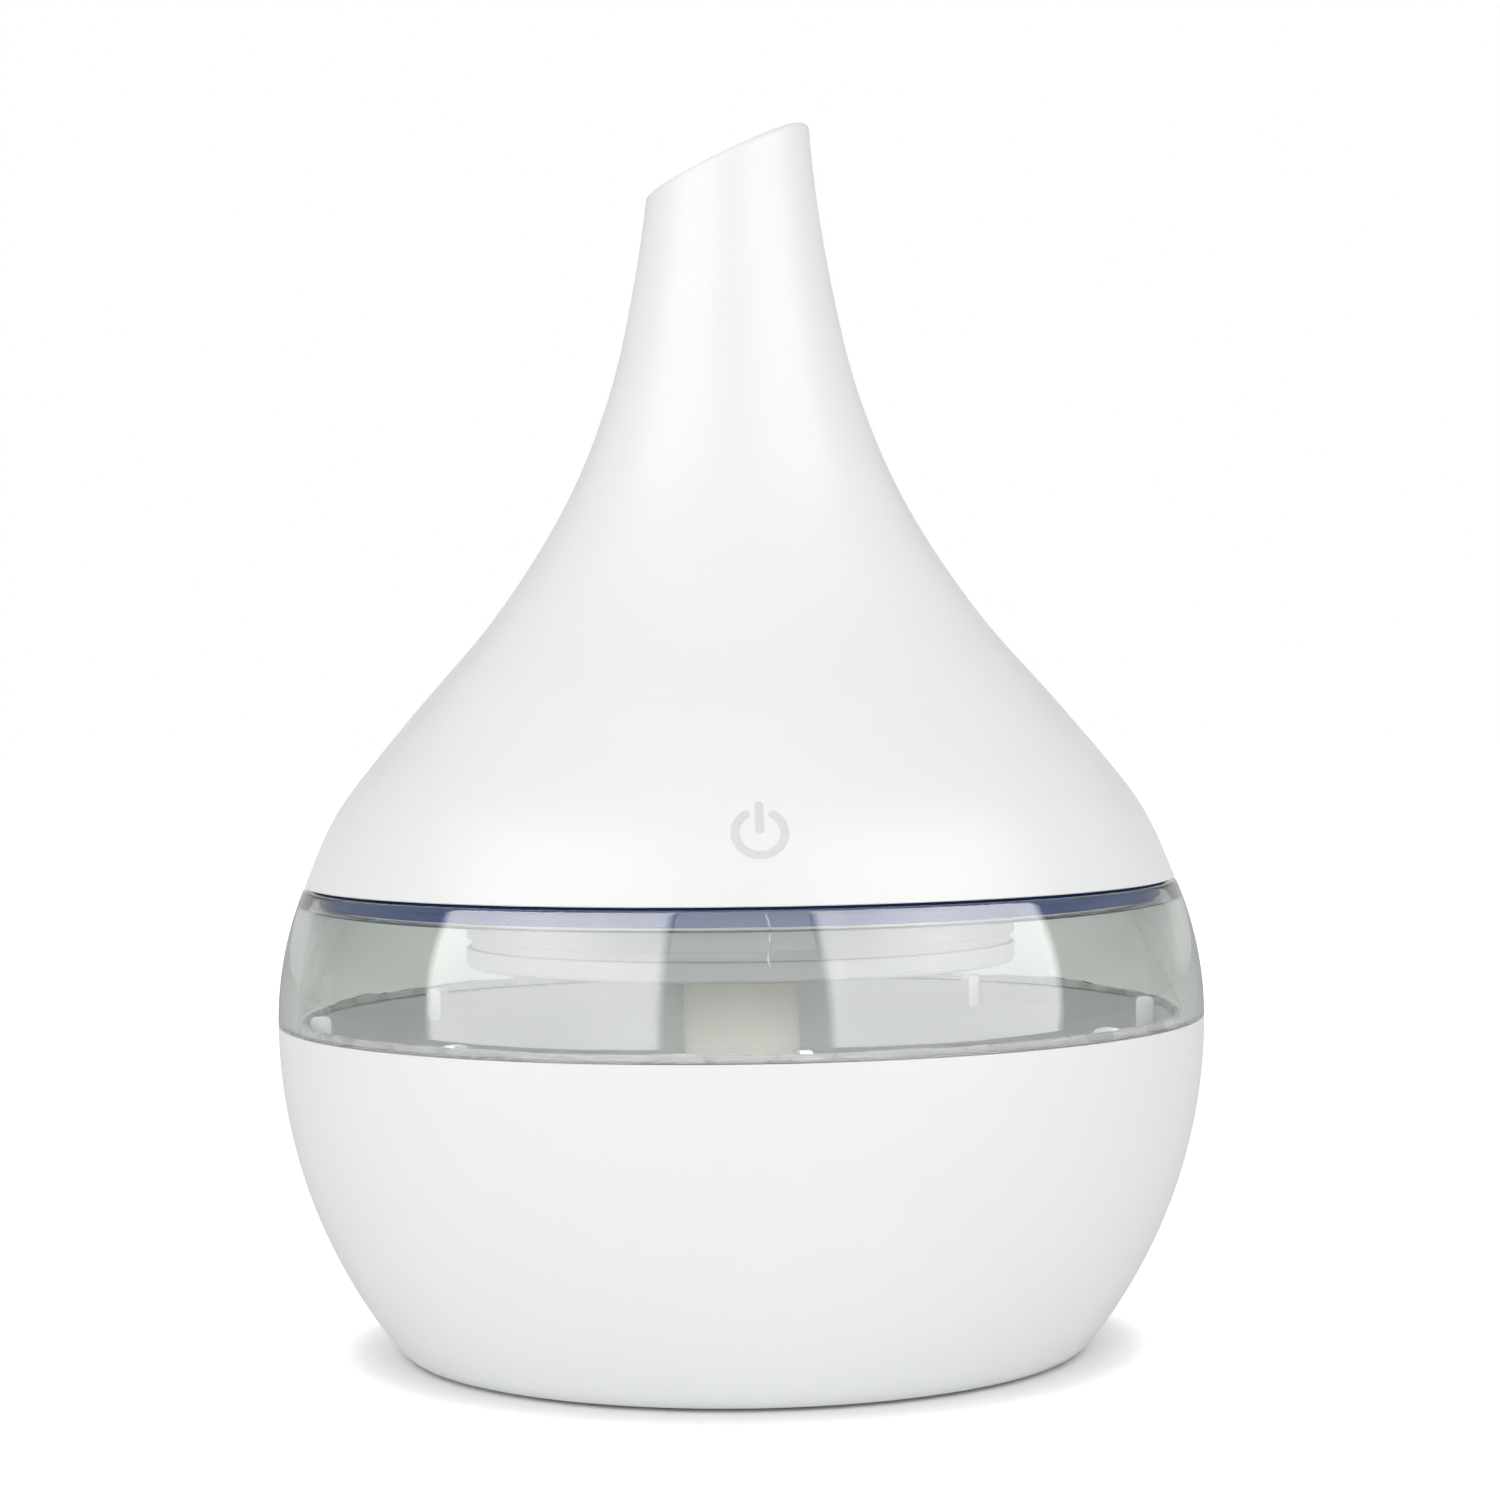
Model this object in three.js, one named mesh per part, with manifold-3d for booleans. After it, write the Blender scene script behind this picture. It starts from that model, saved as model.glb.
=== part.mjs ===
// A small cool mist humidifier: a white bowl and a clear ring glued together as the water tank, and a
// drop-shaped white cover that lifts off with the electronics, the atomiser, and a wick in its sleeve.
// Millimetres, +Z up. The origin is the middle of the foot plane; the power mark faces -Y, and the
// spout's high lip is on +X.
import * as THREE from "three";
import { mergeVertices } from "three/addons/utils/BufferGeometryUtils.js";
import Module from "manifold-3d";

const wasm = await Module();
wasm.setup();

// ---- Driving dimensions -------------------------------------------------------------------------

const MAX_RADIUS = 51; // widest ring, where the bowl meets the clear ring
const JOINT_Z = 36.75; // that joint's height
const SEAM = 0.15; // gap kept between glued or seated rims
const COVER_BOTTOM_Z = 51.6; // lower rim of the drop-shaped cover

const BOWL_ARC = 57; // radius of the bowl's side, seen in section
const BOWL_WALL = 2.4;
const BOWL_BOTTOM_Z = 0.4; // the rim under the bowl hangs clear of the table by this much
const BOWL_CORNER_RADIUS = 37.1;
const BOWL_RECESS_RADIUS = 33; // the raised middle of the underside
const BOWL_RECESS_Z = 1.5;
const TANK_FLOOR_Z = 3.5;
const BOWL_RIM_INNER = 47.6; // the rim is thicker than the wall, to carry the glue bead

const TAB_COUNT = 8; // thin locating ribs that stand up from the bowl's rim, inside the clear ring
const TAB_FIRST_AZIMUTH = 7.5;
const TAB_WIDTH = 1.2;
const TAB_TOP_Z = 37.4;
const TAB_INNER = 45.3;

const RING_ARC = 37.7; // radius of the clear ring's outside, seen in section
const RING_TOP_Z = 51.3;
const RING_WALL = 2.2;
const LEDGE_LOW_Z = 48.85;
const LEDGE_INNER = 46.3;
const STEP_Z = 49.25; // top of the ledge that the seal lies on
const RING_MOUTH_INNER = 47.05;
const MOUTH_FLARE = 0.75; // the mouth's wall runs parallel to the outside, so it is wider at its foot

const BEAD_INNER = 47.75; // the glue bead, in the corner between the rim and the clear ring
const BEAD_OUTER = 48.65;
const BEAD_HEIGHT = 0.65;

const SEAL_INNER = 45.05;
const SEAL_OUTER = 46.85;
const SEAL_HEIGHT = 2.15;

const COVER_WALL = 1.8;
const COVER_OUTLINE = [ // [radius, z] of the drop's outside, from its rim to past its mouth
  [47.95, COVER_BOTTOM_Z],
  [44.05, 60],
  [36.05, 70],
  [26.6, 81],
  [18.85, 93],
  [13.85, 105],
  [10.98, 117],
  [9.2, 128.5],
  [8.4, 138],
];
const MOUTH_Z = 131.6; // height of the slanted mouth on the axis
const MOUTH_TILT = THREE.MathUtils.degToRad(23.1);

const PLATE_Z = 51.75; // underside of the plate that closes the cover
const PLATE_TOP_Z = 53.25;
const PLATE_RADIUS = 44.95;
const LIP_OUTER = 44.85; // plug lip under the plate, which the seal grips
const LIP_INNER = 43.4;
const LIP_BOTTOM_Z = 49.6;
const CUP_RADIUS = 30.3; // round cup that hangs from the plate into the tank
const CUP_WALL = 1.6;
const CUP_BOTTOM_Z = 42.5;
const CUP_GROOVE = { low: 44.7, high: 45.7, radius: 29.7 };

const SLEEVE_RADIUS = 6.4;
const SLEEVE_BORE = 4.6;
const SLEEVE_BOTTOM_Z = 4.6;
const SLEEVE_TOP_Z = 62.9;
const SOCKET_BORE = 6.75;
const SOCKET_RADIUS = 9;
const WICK_RADIUS = 4;
const WICK_BOTTOM_Z = 14.8;
const WICK_TOP_Z = 69.1;
const SPRING_WIRE = 0.35;

const SEAT_FLOOR_Z = 66.9; // the atomiser's seat, on top of the wick socket
const SEAT_RADIUS = 12.2;
const SEAT_WALL = 1.2;
const ATOMISER_Z = 68.5;
const TUBE_BOTTOM_Z = 70.7; // mist tube
const TUBE_TOP_Z = 116;
const TUBE_BORE = 6.8;
const TUBE_WALL = 1.2;
const TUBE_EAR_X = 15.8; // screw ears on the seat and the tube's flange

const PCB_Z = 55;
const PCB_THICKNESS = 1.6;
const PCB_TOP_Z = PCB_Z + PCB_THICKNESS;
const PCB_RADIUS = 34;
const PCB_HOLE = 15.5;
const PCB_SCREW_CIRCLE = 31.2;
const PCB_SCREW_AZIMUTHS = [60, 150, 240]; // clear of the socket and of the touch board
const COVER_SCREW_CIRCLE = 40.2;
const COVER_SCREW_AZIMUTHS = [45, 135, 225, 315];

const USB = { width: 7.6, height: 2.6, back: 36.6, mouth: 42.2 };
const PORT_RECESS = { width: 12, height: 7.2, floor: 42.6 };

const LARGE = 40; // facets round the shells
const MEDIUM = 28; // facets round the atomiser and the tubes
const SMALL = 20; // facets round small discs

// ---- Materials ----------------------------------------------------------------------------------

const material = (color, roughness, metalness = 0) =>
  new THREE.MeshStandardMaterial({ color, roughness, metalness });

const gloss_white = material(0xeef1ee, 0.22);
const inner_white = material(0xe9ebe6, 0.5);
const clear_plastic = new THREE.MeshStandardMaterial({
  color: 0xb4bcb6, roughness: 0.08, metalness: 0, transparent: true, opacity: 0.4,
});
const sealant = material(0xd8dcd8, 0.4);
const navy_silicone = material(0x27365f, 0.45);
const pale_silicone = material(0xd9dcd6, 0.6);
const grey_rubber = material(0x8d908e, 0.8);
const cotton = material(0xece7da, 0.95);
const steel = material(0xb9bbbd, 0.3, 1);
const brass = material(0xc9a45c, 0.35, 1);
const ceramic = material(0xcfc7b4, 0.5);
const board_green = material(0x1f6b45, 0.45);
const chip_black = material(0x1b1b1d, 0.5);
const led_yellow = material(0xe8e0b0, 0.3);
const wire_red = material(0xa82420, 0.5);
const wire_black = material(0x202022, 0.5);

// ---- Geometry helpers ---------------------------------------------------------------------------

// A closed three.js geometry as a manifold-3d solid, for joining and cutting.
function solid(geometry) {
  const bare = geometry.index ? geometry.clone() : geometry;
  bare.deleteAttribute("normal");
  bare.deleteAttribute("uv");
  const merged = mergeVertices(bare, 1e-4);
  return new wasm.Manifold(
    new wasm.Mesh({
      numProp: 3,
      vertProperties: merged.attributes.position.array,
      triVerts: new Uint32Array(merged.index.array),
    }),
  );
}

// A solid back as a three.js geometry.
function geometryOf(body) {
  const { vertProperties, triVerts } = body.getMesh();
  const geometry = new THREE.BufferGeometry();
  geometry.setAttribute("position", new THREE.BufferAttribute(new Float32Array(vertProperties), 3));
  geometry.setIndex(new THREE.BufferAttribute(new Uint32Array(triVerts), 1));
  geometry.computeVertexNormals();
  return geometry;
}

// A solid turned round Z from [radius, z] points, which run up the outside and down the inside.
function turned(points, facets) {
  const outline = points.map(([r, z]) => new THREE.Vector2(r, z));
  if (points[0][0] > 0) outline.push(outline[0].clone());
  return solid(new THREE.LatheGeometry(outline, facets).rotateX(Math.PI / 2));
}

const ring = (inner, outer, low, high, facets) =>
  turned([[inner, low], [outer, low], [outer, high], [inner, high]], facets);

const disc = (radius, low, high, facets = SMALL) =>
  turned([[0, low], [radius, low], [radius, high], [0, high]], facets);

// A box between two corners.
function block([x0, y0, z0], [x1, y1, z1]) {
  const box = new THREE.BoxGeometry(x1 - x0, y1 - y0, z1 - z0);
  return solid(box.translate((x0 + x1) / 2, (y0 + y1) / 2, (z0 + z1) / 2));
}

// A point at an azimuth in degrees, counted from the front (-Y) towards +X.
function around(azimuth, radius, z = 0) {
  const a = THREE.MathUtils.degToRad(azimuth);
  return new THREE.Vector3(radius * Math.sin(a), -radius * Math.cos(a), z);
}

// A solid made at the front, turned round Z to an azimuth.
const turnedTo = (body, azimuth) => body.rotate([0, 0, azimuth]);

// A round wire or tube along a curve, with flat closed ends.
function wire(curve, radius, steps, sides = 6) {
  const section = new THREE.Shape();
  for (let i = 0; i < sides; i++) {
    const a = (2 * Math.PI * i) / sides;
    section[i ? "lineTo" : "moveTo"](radius * Math.cos(a), radius * Math.sin(a));
  }
  return new THREE.ExtrudeGeometry(section, { steps, bevelEnabled: false, extrudePath: curve });
}

class Helix extends THREE.Curve {
  constructor(radius, height, turns) {
    super();
    Object.assign(this, { radius, height, turns });
  }

  getPoint(t, target = new THREE.Vector3()) {
    const a = 2 * Math.PI * this.turns * t;
    return target.set(this.radius * Math.cos(a), this.radius * Math.sin(a), this.height * t);
  }
}

function piece(name, shape, finish, position = new THREE.Vector3()) {
  const mesh = new THREE.Mesh(shape.isBufferGeometry ? shape : geometryOf(shape), finish);
  mesh.name = name;
  mesh.position.copy(position);
  return mesh;
}

// An arc of circle in the [radius, z] plane, about a centre on the joint's height.
function sideArc(arc, low, high, steps, wall = 0) {
  return Array.from({ length: steps + 1 }, (_, i) => {
    const z = low + ((high - low) * i) / steps;
    return [MAX_RADIUS - arc + Math.sqrt((arc - wall) ** 2 - (z - JOINT_Z) ** 2), z];
  });
}

// ---- Tank: bowl, clear ring, glue bead and feet -------------------------------------------------

function baseBowl() {
  const rim = JOINT_Z - SEAM;
  const corner = 0.8;
  const outside = sideArc(BOWL_ARC, BOWL_BOTTOM_Z + corner, rim, 7);
  const inside = sideArc(BOWL_ARC, TANK_FLOOR_Z + 4, rim - 5.5, 4, BOWL_WALL).reverse();
  const [filletRadius, filletTop] = inside.at(-1);
  let bowl = turned(
    [
      [0, BOWL_RECESS_Z],
      [BOWL_RECESS_RADIUS, BOWL_RECESS_Z],
      [BOWL_RECESS_RADIUS + 0.6, BOWL_BOTTOM_Z],
      [BOWL_CORNER_RADIUS, BOWL_BOTTOM_Z],
      ...outside,
      [BOWL_RIM_INNER, rim],
      [BOWL_RIM_INNER, rim - 2.2],
      ...inside,
      [filletRadius - 1.9, filletTop - 2.6],
      [filletRadius - 5.4, TANK_FLOOR_Z],
      [0, TANK_FLOOR_Z],
    ],
    LARGE,
  );
  const half = TAB_WIDTH / 2;
  const tab = block([-half, -BOWL_RIM_INNER, rim - 0.3], [half, -TAB_INNER, TAB_TOP_Z])
    .add(block([-half, -BOWL_RIM_INNER - 1, rim - 3.2], [half, -TAB_INNER, rim - 0.2]));
  for (let i = 0; i < TAB_COUNT; i++) {
    bowl = bowl.add(turnedTo(tab, TAB_FIRST_AZIMUTH + (360 / TAB_COUNT) * i));
  }
  return bowl;
}

function clearRing() {
  const bevel = 0.5;
  const outside = sideArc(RING_ARC, JOINT_Z, RING_TOP_Z - bevel, 6);
  const inside = sideArc(RING_ARC, JOINT_Z, LEDGE_LOW_Z, 5, RING_WALL).reverse();
  const [shoulder] = outside.at(-1);
  return turned(
    [
      ...outside,
      [shoulder - bevel, RING_TOP_Z],
      [RING_MOUTH_INNER, RING_TOP_Z],
      [RING_MOUTH_INNER + MOUTH_FLARE, STEP_Z],
      [LEDGE_INNER, STEP_Z],
      [LEDGE_INNER, STEP_Z - 0.2],
      ...inside,
    ],
    LARGE,
  );
}

const glueBead = () => ring(BEAD_INNER, BEAD_OUTER, JOINT_Z - 0.1, JOINT_Z - 0.1 + BEAD_HEIGHT, LARGE);

function tank() {
  const group = new THREE.Group();
  group.add(
    piece("base_bowl", baseBowl(), gloss_white),
    piece("clear_ring", clearRing(), clear_plastic),
    piece("glue_bead", glueBead(), sealant),
  );
  const pad = disc(4.5, 0, BOWL_RECESS_Z - 0.05);
  [45, 135, 225, 315].forEach((azimuth, i) => {
    group.add(piece(`foot_pad_${i + 1}`, pad, grey_rubber, around(azimuth, 27)));
  });
  return group;
}

const tankSeal = () =>
  piece("tank_seal", ring(SEAL_INNER, SEAL_OUTER, 0, SEAL_HEIGHT, LARGE), navy_silicone,
    new THREE.Vector3(0, 0, STEP_Z + SEAM));

// ---- Cover shell --------------------------------------------------------------------------------

const coverCurve = new THREE.SplineCurve(COVER_OUTLINE.map(([r, z]) => new THREE.Vector2(r, z)));

// Points up the cover's outside, moved inwards by a wall thickness.
function coverSide(steps, wall = 0) {
  return Array.from({ length: steps + 1 }, (_, i) => {
    const point = coverCurve.getPointAt(i / steps);
    const tangent = coverCurve.getTangentAt(i / steps);
    return [point.x - wall * tangent.y, point.y + wall * tangent.x];
  });
}

function spoutCover() {
  const outside = coverSide(14);
  const inside = coverSide(12, COVER_WALL).filter(([, z]) => z > COVER_BOTTOM_Z + 0.5);
  const [innerRimRadius] = coverSide(60, COVER_WALL).find(([, z]) => z >= COVER_BOTTOM_Z);
  const drop = turned([[0, COVER_BOTTOM_Z], ...outside, [0, outside.at(-1)[1]]], LARGE);
  const hollowTop = inside.at(-1)[1] + 5;
  const hollow = turned(
    [
      [0, COVER_BOTTOM_Z - 1],
      [innerRimRadius, COVER_BOTTOM_Z - 1],
      [innerRimRadius, COVER_BOTTOM_Z],
      ...inside,
      [inside.at(-1)[0], hollowTop],
      [0, hollowTop],
    ],
    LARGE,
  );

  const bossLow = PLATE_TOP_Z + SEAM;
  const boss = disc(2.8, bossLow, bossLow + 14.5, 16).subtract(disc(1.25, bossLow - 1, 62.5, 12));
  const bosses = COVER_SCREW_AZIMUTHS.map((azimuth) => {
    const { x, y } = around(azimuth, COVER_SCREW_CIRCLE);
    return boss.translate([x, y, 0]);
  });

  const portZ = PCB_TOP_Z + USB.height / 2;
  const portWall = block([-8.2, 40.7, bossLow], [8.2, 47, 63.5]);
  const recess = block(
    [-PORT_RECESS.width / 2, PORT_RECESS.floor, portZ - PORT_RECESS.height / 2],
    [PORT_RECESS.width / 2, 52, portZ + PORT_RECESS.height / 2],
  );
  const slot = block(
    [-USB.width / 2 - 0.4, 39, portZ - USB.height / 2 - 0.4],
    [USB.width / 2 + 0.4, 46, portZ + USB.height / 2 + 0.4],
  );

  const aboveMouth = solid(
    new THREE.BoxGeometry(60, 60, 30).translate(0, 0, 15).rotateY(-MOUTH_TILT).translate(0, 0, MOUTH_Z),
  );
  return [...bosses, portWall]
    .reduce((shell, rib) => shell.add(rib.intersect(drop)), drop.subtract(hollow))
    .subtract(recess)
    .subtract(slot)
    .subtract(aboveMouth);
}

// ---- Plate, wick socket and mist tube -----------------------------------------------------------

function lowerPlate() {
  let plate = turned(
    [
      [SOCKET_RADIUS + 0.2, CUP_BOTTOM_Z],
      [CUP_RADIUS - 0.6, CUP_BOTTOM_Z],
      [CUP_RADIUS, CUP_BOTTOM_Z + 0.6],
      [CUP_RADIUS, CUP_GROOVE.low],
      [CUP_GROOVE.radius, CUP_GROOVE.low],
      [CUP_GROOVE.radius, CUP_GROOVE.high],
      [CUP_RADIUS, CUP_GROOVE.high],
      [CUP_RADIUS, PLATE_Z],
      [LIP_INNER, PLATE_Z],
      [LIP_INNER, LIP_BOTTOM_Z],
      [LIP_OUTER, LIP_BOTTOM_Z],
      [LIP_OUTER, PLATE_Z],
      [PLATE_RADIUS, PLATE_Z],
      [PLATE_RADIUS, PLATE_TOP_Z],
      [CUP_RADIUS - CUP_WALL, PLATE_TOP_Z],
      [CUP_RADIUS - CUP_WALL, CUP_BOTTOM_Z + 1.8],
      [SOCKET_RADIUS + 0.2, CUP_BOTTOM_Z + 1.8],
    ],
    LARGE,
  );
  for (const azimuth of COVER_SCREW_AZIMUTHS) {
    const { x, y } = around(azimuth, COVER_SCREW_CIRCLE);
    plate = plate.subtract(disc(1.5, PLATE_Z - 1, PLATE_TOP_Z + 1, 12).translate([x, y, 0]));
  }
  const standoff = ring(1, 2.5, PLATE_TOP_Z - 0.4, PCB_Z - 0.05, 12);
  for (const azimuth of PCB_SCREW_AZIMUTHS) {
    const { x, y } = around(azimuth, PCB_SCREW_CIRCLE);
    plate = plate.add(standoff.translate([x, y, 0])).subtract(
      disc(1, PLATE_TOP_Z - 0.9, PLATE_TOP_Z + 1, 12).translate([x, y, 0]));
  }
  return plate;
}

const LUG_Z = { low: 46.5, high: 47.9 }; // the sleeve's two bayonet lugs
const LUG_REACH = 7.5;

// The tube that takes the wick sleeve from below and carries the atomiser's seat on top.
function wickSocket() {
  const grooveRadius = LUG_REACH + 0.25;
  const seatOuter = SEAT_RADIUS + SEAT_WALL;
  const roofZ = SLEEVE_TOP_Z + 0.5;
  const body = turned(
    [
      [SOCKET_BORE, CUP_BOTTOM_Z],
      [SOCKET_RADIUS, CUP_BOTTOM_Z],
      [SOCKET_RADIUS, CUP_BOTTOM_Z + 2],
      [12.5, CUP_BOTTOM_Z + 2],
      [12.5, CUP_BOTTOM_Z + 3.6],
      [SOCKET_RADIUS, CUP_BOTTOM_Z + 3.6],
      [SOCKET_RADIUS, roofZ - 2],
      [seatOuter, roofZ + 1.8],
      [seatOuter, SEAT_FLOOR_Z + 2.7],
      [SEAT_RADIUS, SEAT_FLOOR_Z + 2.7],
      [SEAT_RADIUS, SEAT_FLOOR_Z],
      [SLEEVE_BORE, SEAT_FLOOR_Z],
      [SLEEVE_BORE, roofZ],
      [SOCKET_BORE, roofZ],
      [SOCKET_BORE, LUG_Z.high + 0.3],
      [grooveRadius, LUG_Z.high + 0.3],
      [grooveRadius, LUG_Z.low - 0.3],
      [SOCKET_BORE, LUG_Z.low - 0.3],
    ],
    MEDIUM,
  );
  const entry = turnedTo(
    block([-1.5, -grooveRadius, CUP_BOTTOM_Z - 1], [1.5, grooveRadius, LUG_Z.high]), 135);
  const ear = ring(1, 2.4, roofZ + 1.8, SEAT_FLOOR_Z + 2.7, 14);
  const bridge = block([SEAT_RADIUS + 0.4, -1.6, roofZ + 1.8],
    [TUBE_EAR_X - 1.3, 1.6, SEAT_FLOOR_Z + 2.7]);
  const rightEar = ear.translate([TUBE_EAR_X, 0, 0]).add(bridge);
  return body.subtract(entry).add(rightEar).add(turnedTo(rightEar, 180));
}

function mistTube() {
  const outer = TUBE_BORE + TUBE_WALL;
  const flange = SEAT_RADIUS + SEAT_WALL;
  const flangeTop = TUBE_BOTTOM_Z + 1.5;
  const tube = turned(
    [
      [TUBE_BORE, TUBE_BOTTOM_Z],
      [flange, TUBE_BOTTOM_Z],
      [flange, flangeTop],
      [outer + 1, flangeTop],
      [outer, flangeTop + 1.6],
      [outer, TUBE_TOP_Z],
      [TUBE_BORE, TUBE_TOP_Z],
    ],
    MEDIUM,
  );
  const ear = ring(1.1, 2.4, TUBE_BOTTOM_Z, flangeTop, 14).translate([TUBE_EAR_X, 0, 0]);
  const bridge = block([flange - 1, -1.6, TUBE_BOTTOM_Z], [TUBE_EAR_X - 1.4, 1.6, flangeTop]);
  const rightEar = ear.add(bridge);
  return tube.add(rightEar).add(turnedTo(rightEar, 180));
}

const torus = (radius, section) => new THREE.TorusGeometry(radius, section, 6, 24);

// Silicone ring that grips the atomiser's edge.
const atomiserSeal = () =>
  turned(
    [
      [7.2, 0],
      [SEAT_RADIUS - 0.1, 0],
      [SEAT_RADIUS - 0.1, 3.6],
      [7.2, 3.6],
      [7.2, 2.4],
      [10.3, 2.4],
      [10.3, 1.2],
      [7.2, 1.2],
    ],
    MEDIUM,
  );

// A pan-head screw pointing up: its head hangs below z = 0, and its shank runs up from there.
function screw(length, shank, head) {
  const body = turned(
    [
      [0, -1.5],
      [head * 0.7, -1.5],
      [head, -0.7],
      [head, 0],
      [shank, 0],
      [shank, length - 1],
      [shank * 0.35, length],
      [0, length],
    ],
    12,
  );
  const arm = head * 0.6;
  const cross = block([-arm, -0.25, -2], [arm, 0.25, -0.9])
    .add(block([-0.25, -arm, -2], [0.25, arm, -0.9]));
  return body.subtract(cross);
}

// ---- Electronics --------------------------------------------------------------------------------

function mainBoard() {
  const board = ring(PCB_HOLE, PCB_RADIUS, PCB_Z, PCB_TOP_Z, MEDIUM);
  const tongue = block([-6.2, PCB_RADIUS - 3, PCB_Z], [6.2, 40.4, PCB_TOP_Z]);
  return PCB_SCREW_AZIMUTHS.reduce((body, azimuth) => {
    const { x, y } = around(azimuth, PCB_SCREW_CIRCLE);
    return body.subtract(disc(1.2, PCB_Z - 1, PCB_TOP_Z + 1, 12).translate([x, y, 0]));
  }, board.add(tongue));
}

// A micro USB socket: a folded metal shell, open at the back of the cover, with its tongue inside.
function usbSocket() {
  const half = USB.width / 2;
  const low = PCB_TOP_Z + 0.05;
  const high = low + USB.height - 0.1;
  const skin = 0.35;
  const middle = (low + high) / 2;
  return block([-half, USB.back, low], [half, USB.mouth, high])
    .subtract(block([-half + skin, USB.back + 1, low + skin], [half - skin, USB.mouth + 1, high - skin]))
    .add(block([-half + 1.6, USB.back + 0.5, middle - 0.3], [half - 1.6, USB.mouth - 0.8, middle + 0.3]));
}

function electronics() {
  const group = new THREE.Group();
  const onBoard = PCB_TOP_Z + 0.05;
  group.add(
    piece("main_pcb", mainBoard(), board_green),
    piece("usb_socket", usbSocket(), steel),
    piece("control_chip", block([-2.5, -2, 0], [2.5, 2, 1.5]), chip_black,
      around(100, 24, onBoard)),
    piece("inductor", disc(3.2, 0, 4, 16), chip_black, around(205, 24, onBoard)),
    piece("capacitor", disc(2.6, 0, 7.5, 16), chip_black, around(270, 24, onBoard)),
    piece("touch_board", block([-6, -32.6, onBoard], [6, -31.4, onBoard + 10.8]), board_green),
  );
  [20, 130, 290].forEach((azimuth, i) => {
    const led = block([-1.75, -1.4, 0], [1.75, 1.4, 1]);
    group.add(piece(`led_${i + 1}`, led, led_yellow, around(azimuth, 25, onBoard)));
  });

  const contact = piece("touch_spring", wire(new Helix(2.4, 7.6, 4), 0.3, 32, 5), brass,
    new THREE.Vector3(0, -33, 58.6 + 0.6));
  contact.rotation.x = Math.PI / 2;
  group.add(contact);

  [[-1, wire_red], [1, wire_black]].forEach(([side, finish], i) => {
    const path = new THREE.CatmullRomCurve3([
      new THREE.Vector3(3 * side, -19, onBoard + 0.1),
      new THREE.Vector3(3.2 * side, -19.3, 61),
      new THREE.Vector3(2.4 * side, -17.2, 66.5),
      new THREE.Vector3(1.6 * side, -14.2, 69.6),
    ]);
    group.add(piece(`atomiser_lead_${i + 1}`, wire(path, 0.5, 12), finish));
  });

  const boardScrew = screw(3.6, 0.85, 1.7);
  PCB_SCREW_AZIMUTHS.forEach((azimuth, i) => {
    const fixing = piece(`pcb_screw_${i + 1}`, boardScrew, steel,
      around(azimuth, PCB_SCREW_CIRCLE, PCB_TOP_Z + 0.05));
    fixing.rotation.x = Math.PI;
    group.add(fixing);
  });
  return group;
}

// ---- Cover assembly -----------------------------------------------------------------------------

function cover() {
  const group = new THREE.Group();
  group.add(
    piece("spout_cover", spoutCover(), gloss_white),
    piece("lower_plate", lowerPlate(), inner_white),
    piece("wick_socket", wickSocket(), inner_white),
    piece("mist_tube", mistTube(), inner_white),
    piece("duct_o_ring", torus(9.05, 0.9), pale_silicone, new THREE.Vector3(0, 0, 112)),
    piece("atomiser_seal", atomiserSeal(), pale_silicone,
      new THREE.Vector3(0, 0, SEAT_FLOOR_Z + 0.1)),
    piece("atomiser_disc", ring(4.3, 10, 0, 0.6, MEDIUM), ceramic,
      new THREE.Vector3(0, 0, ATOMISER_Z)),
    piece("atomiser_mesh", disc(6.4, 0, 0.2, MEDIUM), steel,
      new THREE.Vector3(0, 0, ATOMISER_Z + 0.7)),
    electronics(),
  );

  const plateScrew = screw(9.5, 1.1, 2.3);
  COVER_SCREW_AZIMUTHS.forEach((azimuth, i) => {
    group.add(piece(`plate_screw_${i + 1}`, plateScrew, steel,
      around(azimuth, COVER_SCREW_CIRCLE, PLATE_Z - 0.1)));
  });

  const tubeScrew = screw(5.5, 0.85, 1.7);
  [90, 270].forEach((azimuth, i) => {
    const fixing = piece(`tube_screw_${i + 1}`, tubeScrew, steel,
      around(azimuth, TUBE_EAR_X, TUBE_BOTTOM_Z + 1.6));
    fixing.rotation.x = Math.PI;
    group.add(fixing);
  });
  return group;
}

// ---- Wick, its sleeve and its spring ------------------------------------------------------------

function wickSleeve() {
  const grooveLow = 54;
  const grooveHigh = 55.4;
  const groove = 5.65;
  const tube = turned(
    [
      [1.5, SLEEVE_BOTTOM_Z],
      [SLEEVE_RADIUS - 0.6, SLEEVE_BOTTOM_Z],
      [SLEEVE_RADIUS, SLEEVE_BOTTOM_Z + 0.6],
      [SLEEVE_RADIUS, grooveLow],
      [groove, grooveLow],
      [groove, grooveHigh],
      [SLEEVE_RADIUS, grooveHigh],
      [SLEEVE_RADIUS, SLEEVE_TOP_Z],
      [SLEEVE_BORE, SLEEVE_TOP_Z],
      [SLEEVE_BORE, SLEEVE_BOTTOM_Z + 1.6],
      [1.5, SLEEVE_BOTTOM_Z + 1.6],
    ],
    24,
  );
  const lugs = block([-1, -LUG_REACH, LUG_Z.low], [1, LUG_REACH, LUG_Z.high])
    .subtract(disc(SLEEVE_BORE + 0.6, LUG_Z.low - 1, LUG_Z.high + 1, 24));
  const window = block([-1.1, -8, SLEEVE_BOTTOM_Z + 3.4], [1.1, 8, SLEEVE_BOTTOM_Z + 17]);
  return tube
    .add(turnedTo(lugs, 90))
    .subtract(turnedTo(window, 45))
    .subtract(turnedTo(window, 135));
}

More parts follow.
